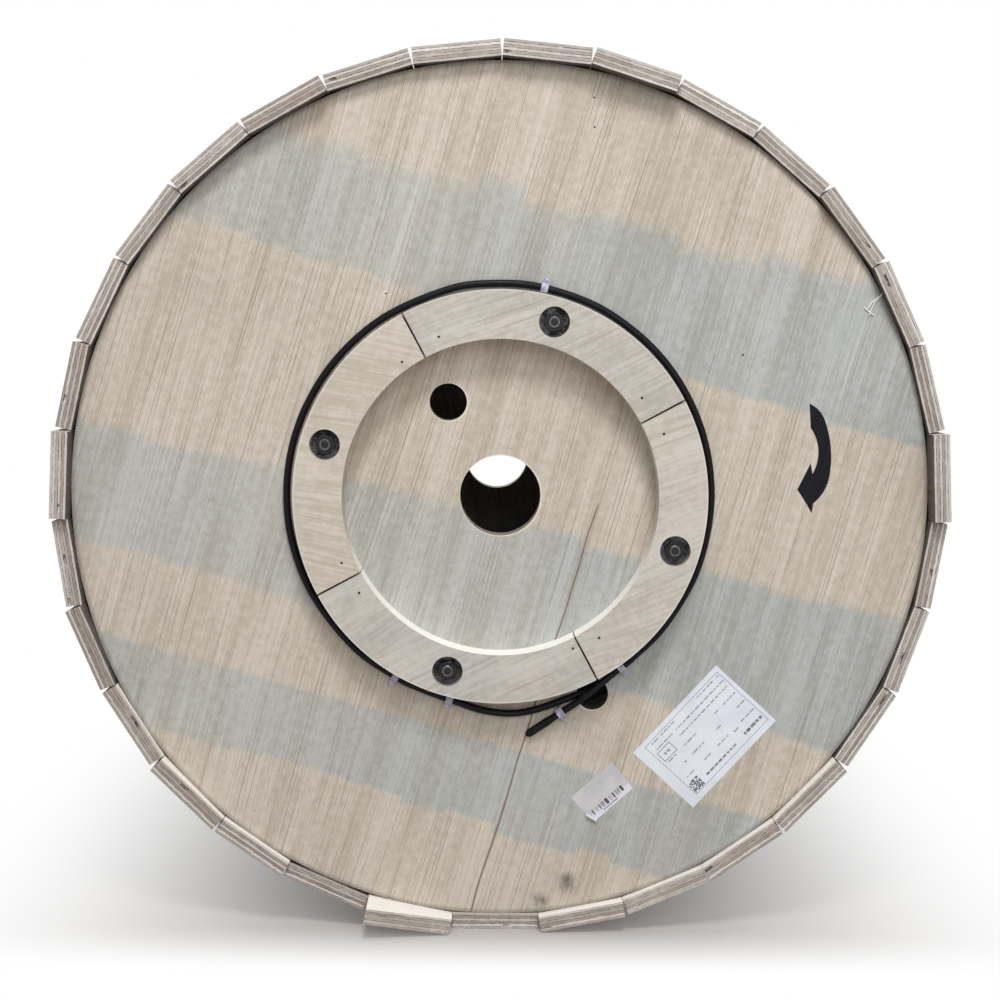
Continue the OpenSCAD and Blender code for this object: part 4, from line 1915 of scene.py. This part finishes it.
@dataclass
class Label:
    """A label pasted askew on the front flange.

    Attributes:
        first: Where the reference view shows its first corner.
        across: Where it shows the corner across from that.
        along: Where it shows the corner along from it.
        width: Its size across, in mm.
        length: Its size along, in mm.
        thick: Thickness of its stock.
        print_t: Thickness of the print.
        word: Least and most length of a blind word, in mm.
        space: Least and most space after one, in mm.
        faint: How faint the faintest words are, as a share of their ink.
        rng: Source of its uneven print.
    """

    first: Pixel
    across: Pixel
    along: Pixel
    width: float
    length: float
    thick: float = 0.16 * MM
    print_t: float = 0.03 * MM
    word: Pair = (2.0, 6.5)
    space: Pair = (0.9, 1.6)
    faint: float = 0.75
    rng: random.Random = field(default_factory=lambda: random.Random(7))

    def place(self, u: float, v: float) -> Vector:
        """Give a place on the label, in mm across and along it."""
        corners = (self.first, self.across, self.along)
        first, across, along = (VIEW.on_face(corner, SIZES.face_y) for corner in corners)
        return first + (across - first) * (u / self.width) + (along - first) * (v / self.length)

    def patch(self, low: Pair, high: Pair) -> list[Vector]:
        """Give the corners of a rectangle on the label."""
        return [self.place(*spot) for spot in (low, (high[0], low[1]), high, (low[0], high[1]))]

    def bar(self, sheet: Sheet, low: Pair, high: Pair, ink: float, cover: float = 1.0) -> None:
        """Print a bar.

        Args:
            sheet: The label's piece.
            low: First corner, in mm across and along.
            high: Opposite corner.
            ink: How dark it is.
            cover: How well it covers the label.
        """
        sheet.add(self.patch(low, high), self.thick, self.thick + self.print_t, ink, cover)

    def words(self, sheet: Sheet, line: Triple, height: float, ink: float) -> None:
        """Print a line of blind words.

        Args:
            sheet: The label's piece.
            line: Place across, start and end along, in mm.
            height: Height of the line, in mm.
            ink: How dark it is.
        """
        across, start, end = line
        low, high = across - height / 2, across + height / 2
        while start < end:
            stop = min(start + self.rng.uniform(*self.word), end)
            self.bar(sheet, (low, start), (high, stop), ink * self.rng.uniform(self.faint, 1.0))
            start = stop + self.rng.uniform(*self.space)


@dataclass
class PaperLabel(Label):
    """The data sheet label: a frame with lines of blind print, a dotted block and a small box.

    Places and sizes are in mm across and along the label. A line of print is its place across, and its
    start and end along.
    """

    first: Pixel = (716.1, 665.2)
    across: Pixel = (776.1, 720.4)
    along: Pixel = (633.1, 752.8)
    width: float = 82.0
    length: float = 118.0
    frame_low: Pair = (5.0, 4.0)
    frame_high: Pair = (75.5, 106.5)
    frame_line: float = 0.5
    frame_ink: float = 0.75
    lines: tuple[Triple, ...] = (
        (8.3, 6, 10), (8.3, 14, 37), (8, 68, 87), (8, 91, 100), (15.4, 6, 73), (15.2, 78, 100),
        (22.2, 8, 75), (32.4, 7, 24), (32.4, 31, 36), (32.3, 62, 80), (32.3, 90, 101),
        (44.5, 6, 18), (44.7, 40, 47), (44.2, 63, 80), (44.3, 88, 91), (57.2, 6, 24),
        (59.3, 30, 37), (57, 42, 57), (57, 67, 76), (56.5, 90, 100),
    )
    line_height: float = 1.4
    line_ink: float = 0.7
    head: Triple = (68.2, 6.5, 30.5)
    head_height: float = 2.9
    head_ink: float = 0.95
    second_head: Triple = (69, 43.5, 85)
    second_height: float = 2.1
    second_ink: float = 0.9
    block_low: Pair = (61.8, 92.4)
    block_cells: int = 11
    block_fill: float = 0.62
    block_ink: float = 0.9
    cell: float = 1.15
    box_low: Pair = (18.2, 86.2)
    box_high: Pair = (30, 103.2)
    box_line: float = 0.65
    box_ink: float = 0.85
    box_word: Triple = (24.1, 91, 99)
    box_word_height: float = 3.0

    def build(self, paper: Material) -> None:
        """Print the label and paste it on.

        Args:
            paper: What it is made of.
        """
        sheet = Sheet()
        sheet.add(self.patch((0, 0), (self.width, self.length)), 0.0, self.thick)
        self.outline(sheet, self.frame_low, self.frame_high, self.frame_line, self.frame_ink)
        self.outline(sheet, self.box_low, self.box_high, self.box_line, self.box_ink)
        self.words(sheet, self.box_word, self.box_word_height, self.line_ink)
        for line in self.lines:
            self.words(sheet, line, self.line_height, self.line_ink)
        self.words(sheet, self.head, self.head_height, self.head_ink)
        self.words(sheet, self.second_head, self.second_height, self.second_ink)
        for row in range(self.block_cells):
            for column in range(self.block_cells):
                if self.rng.random() < self.block_fill:
                    low = (self.block_low[0] + row * self.cell, self.block_low[1] + column * self.cell)
                    self.bar(sheet, low, (low[0] + self.cell, low[1] + self.cell), self.block_ink)
        sheet.finish("paper_label", paper, Slot.PAPER)

    def outline(self, sheet: Sheet, low: Pair, high: Pair, line: float, ink: float) -> None:
        """Print a rectangle of four lines.

        Args:
            sheet: The label's piece.
            low: First corner, in mm across and along.
            high: Opposite corner.
            line: Width of the lines, in mm.
            ink: How dark they are.
        """
        self.bar(sheet, low, (low[0] + line, high[1]), ink)
        self.bar(sheet, (high[0] - line, low[1]), high, ink)
        self.bar(sheet, (low[0] + line, low[1]), (high[0] - line, low[1] + line), ink)
        self.bar(sheet, (low[0] + line, high[1] - line), (high[0] - line, high[1]), ink)


@dataclass
class FilmLabel(Label):
    """The clear film label with a white strip of blind bars and a curled corner.

    Places and sizes are in mm across and along the label. A bar is its place along, its width and its ink.
    """

    first: Pixel = (611.5, 762.4)
    across: Pixel = (633.6, 787.7)
    along: Pixel = (571.0, 797.5)
    width: float = 33.5
    length: float = 53.5
    thick: float = 0.1 * MM
    film_cover: float = 0.78
    fold_across: float = 22.0
    fold_along: float = 49.5
    strip_low: Pair = (26.6, 1.0)
    strip_high: Pair = (33.3, 49.0)
    strip_ink: float = -1.0
    print_cover: float = 0.9
    bars: tuple[Triple, ...] = (
        (9.3, 2.4, 1.0), (12.8, 1.2, 0.75), (14.6, 0.8, 0.6), (16.2, 1.2, 0.75), (19.7, 1.9, 0.95),
        (22.6, 0.8, 0.6), (24.6, 0.9, 0.55), (28.8, 3.2, 1.0), (33.0, 1.2, 0.8), (34.8, 1.0, 0.7),
        (37.7, 1.5, 0.85), (41.2, 0.9, 0.55), (43.0, 0.7, 0.45), (46.4, 1.7, 0.9),
    )
    bar_low: float = 22.8
    bar_high: float = 28.8
    line_low: Pair = (29.7, 18.6)
    line_high: Pair = (31.5, 37.0)
    line_ink: float = 0.3
    line_cover: float = 0.6
    curl_r: float = 1.7 * MM
    curl_turn: float = math.radians(215.0)
    curl_steps: int = 10
    curl_cover: float = 0.95

    def build(self, film: Material) -> None:
        """Print the label and stick it on.

        Args:
            film: What it is made of.
        """
        sheet = Sheet()
        fold = ((self.width, self.fold_along), (self.fold_across, self.length))
        corners = ((0, 0), (self.width, 0), *fold, (0, self.length))
        film_outline = [self.place(*corner) for corner in corners]
        sheet.add(film_outline, 0.0, self.thick, cover=self.film_cover)
        self.bar(sheet, self.strip_low, self.strip_high, self.strip_ink, self.print_cover)
        lift = self.thick + self.print_t
        for along, width, ink in self.bars:
            bar = self.patch((self.bar_low, along - width / 2), (self.bar_high, along + width / 2))
            sheet.add(bar, lift, lift + self.print_t, ink, self.print_cover)
        line = self.patch(self.line_low, self.line_high)
        sheet.add(line, lift, lift + self.print_t, self.line_ink, self.line_cover)
        self.add_curl(sheet)
        sheet.finish("film_label", film, Slot.FILM)

    def add_curl(self, sheet: Sheet) -> None:
        """Roll the loose corner up off the flange.

        Args:
            sheet: The label's piece.
        """
        ends = ((self.fold_across, self.length), (self.width, self.fold_along))
        fold = [self.place(*end) + OUTWARD * self.thick for end in ends]
        verts = [sheet.shape.verts.new(spot) for spot in fold]
        edge = sheet.shape.edges.new(verts)
        before = len(sheet.shape.faces)
        bmesh.ops.spin(
            sheet.shape, geom=[*verts, edge], cent=fold[0] + OUTWARD * self.curl_r,
            axis=(fold[1] - fold[0]).normalized(), angle=self.curl_turn, steps=self.curl_steps,
        )
        sheet.shape.faces.ensure_lookup_table()
        rolled = sheet.shape.faces[before:]
        for face in rolled:
            face[sheet.cover] = self.curl_cover
        bmesh.ops.solidify(sheet.shape, geom=rolled, thickness=self.thick)


@dataclass
class DirectionArrow:
    """The stencilled arrow that shows which way the drum rolls."""

    tail: Pixel = (809.6, 403.6)
    upper_via: Pixel = (818.0, 409.3)
    shoulder: Pixel = (824.7, 419.6)
    belly_via: Pixel = (831.2, 455.1)
    hip: Pixel = (829.5, 476.0)
    lower_via: Pixel = (823.4, 492.0)
    outer_end: Pixel = (813.3, 503.3)
    splash: Pixel = (811.6, 513.3)
    lower_barb: Pixel = (807.0, 505.0)
    tip: Pixel = (797.3, 489.6)
    upper_barb: Pixel = (810.7, 463.3)
    notch: Pixel = (812.5, 474.0)
    inner_via: Pixel = (818.4, 453.0)
    tail_inner: Pixel = (810.7, 427.8)
    steps: int = 12
    thick: float = 0.06 * MM

    def build(self, paint: Material) -> None:
        """Paint the arrow.

        Args:
            paint: What it is painted with.
        """
        upper = arc(self.tail, self.upper_via, self.shoulder, self.steps)
        belly = arc(self.shoulder, self.belly_via, self.hip, self.steps)
        lower = arc(self.hip, self.lower_via, self.outer_end, self.steps)
        inner = arc(self.notch, self.inner_via, self.tail_inner, self.steps)
        head = (self.splash, self.lower_barb, self.tip, self.upper_barb)
        outline = (*upper, *belly[1:], *lower[1:], *head, *inner)
        sheet = Sheet()
        sheet.add([VIEW.on_face(pixel, SIZES.face_y) for pixel in outline], 0.0, self.thick)
        sheet.finish("direction_arrow", paint, Slot.PAINT)


@dataclass
class LooseBits:
    """Frayed strands that hang out at the rim, and tacks left in the flange."""

    strands: tuple[tuple[Pixel, ...], ...] = (
        ((883.5, 290.5), (880.5, 295.5), (875.2, 299.0), (870.6, 304.1), (867.6, 308.7)),
        ((881.8, 294.9), (875.2, 301.4), (871.6, 308.2), (868.8, 315.3)),
        ((864.0, 307.7), (867.0, 310.2), (870.6, 313.3), (873.4, 315.4)),
    )
    strand_r: float = 0.55 * MM
    strand_sides: int = 8
    strand_lift: float = 1.2 * MM
    tacks: tuple[Pixel, ...] = ((385.9, 293.4), (743.0, 355.0), (594.0, 97.5), (594.7, 127.0))
    tack_r: float = 1.1 * MM
    tack_proud: float = 0.15 * MM

    def build(self, fibre: Material, steel: Material) -> None:
        """Lay the strands and drive the tacks.

        Args:
            fibre: What the strands are made of.
            steel: What the tacks are made of.
        """
        strands = bmesh.new()
        for strand in self.strands:
            line = [VIEW.on_face(pixel, SIZES.face_y) + OUTWARD * self.strand_lift for pixel in strand]
            add_tube(strands, line, self.strand_r, self.strand_sides)
        build_piece("loose_strands", strands, fibre, smooth_to=ROUND_ANGLE)
        tacks = bmesh.new()
        for pixel in self.tacks:
            add_nail(tacks, VIEW.on_face(pixel, SIZES.face_y), OUTWARD, self.tack_r, self.tack_proud)
        build_piece("flange_tacks", tacks, steel)


@dataclass(frozen=True)
class Lamp:
    """A soft square lamp.

    Attributes:
        name: Its name.
        place: Where it hangs, in metres.
        target: What it points at.
        size: Length of its sides, in metres.
        power: Its power in watts.
    """

    name: str
    place: Triple
    target: Triple
    size: float
    power: float

    def hang(self) -> None:
        """Add the lamp to the scene."""
        data = bpy.data.lights.new(self.name, "AREA")
        data.shape = "SQUARE"
        data.size = self.size
        data.energy = self.power
        lamp = bpy.data.objects.new(self.name, data)
        lamp.location = self.place
        lamp.rotation_euler = (Vector(self.target) - Vector(self.place)).to_track_quat("-Z", "Y").to_euler()
        bpy.context.scene.collection.objects.link(lamp)


@dataclass
class Studio:
    """Pale floor, white surround and soft lamps.

    Attributes:
        lamps: The lamps.
        sky: How bright the surround lights the drum, where it shows as 1.
        floor_colour: Colour of the floor.
        floor_half: Half the floor's width, in metres.
        floor_rough: Roughness of the floor.
        shade_most: How much of the grey floor itself shows under the drum; that grey patch is a painted
            soft shadow round the real one.
        shade_sides: From where to where that fades sideways, in metres from the middle.
        shade_front: From where to where it fades towards the front.
        shade_back: From where to where it fades towards the back.
    """

    lamps: tuple[Lamp, ...] = (
        Lamp("key_lamp", (0.1, -2.4, 2.85), (0.0, -0.3, 0.0), 0.9, 77.0),
        Lamp("top_lamp", (0.0, 0.3, 2.9), (0.0, 0.0, 0.0), 2.2, 46.0),
        Lamp("front_lamp", (0.8, -4.0, 1.7), (0.0, -0.3, 0.0), 2.2, 53.0),
        Lamp("back_lamp", (-0.8, 4.0, 1.7), (0.0, 0.3, 0.0), 2.2, 36.0),
    )
    sky: float = 0.26
    floor_colour: Colour = (0.46, 0.425, 0.40, 1.0)
    floor_half: float = 9.0
    floor_rough: Pair = (0.85, 0.95)
    shade_most: float = 0.88
    shade_sides: Pair = (0.08, 0.62)
    shade_front: Pair = (0.30, 0.435)
    shade_back: Pair = (0.36, 1.0)

    def build(self) -> None:
        """Set the stage."""
        scene = bpy.context.scene
        scene.view_settings.view_transform = "Standard"
        self.add_world(scene)
        self.add_floor()
        for lamp in self.lamps:
            lamp.hang()
        VIEW.add_camera()

    def seen_ray(self, wires: Wiring) -> Socket:
        """Say whether a ray comes from the camera, or from a mirror or glass that it sees."""
        path = wires.node("ShaderNodeLightPath").outputs
        either = wires.math("MAXIMUM", path["Is Camera Ray"], path["Is Glossy Ray"])
        return wires.math("MAXIMUM", either, path["Is Transmission Ray"])

    def add_world(self, scene: bpy.types.Scene) -> None:
        """Light the scene softly from all round and show the surround as white.

        Args:
            scene: The scene.
        """
        world = bpy.data.worlds.new("white_surround")
        world.use_nodes = True
        scene.world = world
        wires = Wiring(world.node_tree)
        background = world.node_tree.nodes["Background"]
        background.inputs["Color"].default_value = (1.0, 1.0, 1.0, 1.0)
        strength = wires.math("MULTIPLY_ADD", self.seen_ray(wires), 1.0 - self.sky, self.sky)
        wires.feed(background.inputs["Strength"], strength)

    def add_floor(self) -> None:
        """Lay a floor that fades to white away from the drum and keeps its shadow, on a grey patch that is
        a painted soft shadow.
        """
        shape = bmesh.new()
        matrix = Matrix.Translation((0.0, 0.0, SIZES.floor_z))
        bmesh.ops.create_grid(shape, x_segments=8, y_segments=8, size=self.floor_half, matrix=matrix)
        mesh = bpy.data.meshes.new("pale_floor")
        shape.to_mesh(mesh)
        shape.free()
        floor = bpy.data.objects.new("pale_floor", mesh)
        bpy.context.scene.collection.objects.link(floor)
        paint = Surface("floor_paint")
        place = paint.local()
        cloud = paint.noise(place, 3.0, 2.0)
        x, y, _ = paint.apart(place)
        # Painted soft shadow: a box round the drum where the grey floor shows, fading out into the white
        # glow.
        shade = paint.spread(paint.math("ABSOLUTE", x), *self.shade_sides, self.shade_most, 0.0)
        forward = paint.math("MULTIPLY", y, -1.0)
        shade = paint.math("MULTIPLY", shade, paint.spread(forward, *self.shade_front, 1.0, 0.0))
        shade = paint.math("MULTIPLY", shade, paint.spread(y, *self.shade_back, 1.0, 0.0))
        white = paint.math("MULTIPLY", self.seen_ray(paint), paint.math("SUBTRACT", 1.0, shade))
        paint.dress(self.floor_colour, paint.spread(cloud, 0.0, 1.0, *self.floor_rough))
        paint.set(Specular_IOR_Level=0.0)
        glow = paint.node("ShaderNodeEmission", {"Strength": 1.0}).outputs[0]
        shaders = {0: white, 1: paint.shader.outputs[0], 2: glow}
        mixed = paint.node("ShaderNodeMixShader", shaders).outputs[0]
        paint.feed(paint.tree.nodes["Material Output"].inputs["Surface"], mixed)
        mesh.materials.append(paint.material)


def main() -> None:
    """Build and dress the drum, sub-assembly by sub-assembly."""
    logging.basicConfig(level=logging.INFO, format="%(message)s")
    Studio().build()
    nail_steel = SteelFinish("nail_steel", tint(70, 66, 64), tint(34, 30, 28), worn=0.2).make()
    jacket = JacketFinish("black_jacket").make()
    shrink = JacketFinish("shrunk_cap", body=tint(15, 14, 17), rough=0.55).make()
    cable = CableEnd()
    clip_steel = SteelFinish("clip_nail_steel", tint(150, 146, 158), tint(128, 124, 136), worn=0.5).make()
    cable.build(jacket, shrink, clip_steel)
    cable.dress(ClipFinish().make())
    Flanges().dress()
    rings = HubRings()
    rings.dress()
    rings.build(nail_steel)
    Hardware().dress()
    Lagging().build(BoardFinish().make(), nail_steel)
    PaperLabel().build(PrintFinish("label_paper", tint(226, 231, 240), tint(215, 220, 230)).make())
    film = PrintFinish("label_film", tint(224, 223, 226), tint(206, 206, 210), rough=0.36).make()
    FilmLabel().build(film)
    LooseBits().build(FibreFinish().make(), nail_steel)
    DirectionArrow().build(PaintFinish().make())
    dress_node("barrel_slats", SlatFinish().make())
    dress_node("cable_winding", WindingFinish().make())


if __name__ == "__main__":
    main()
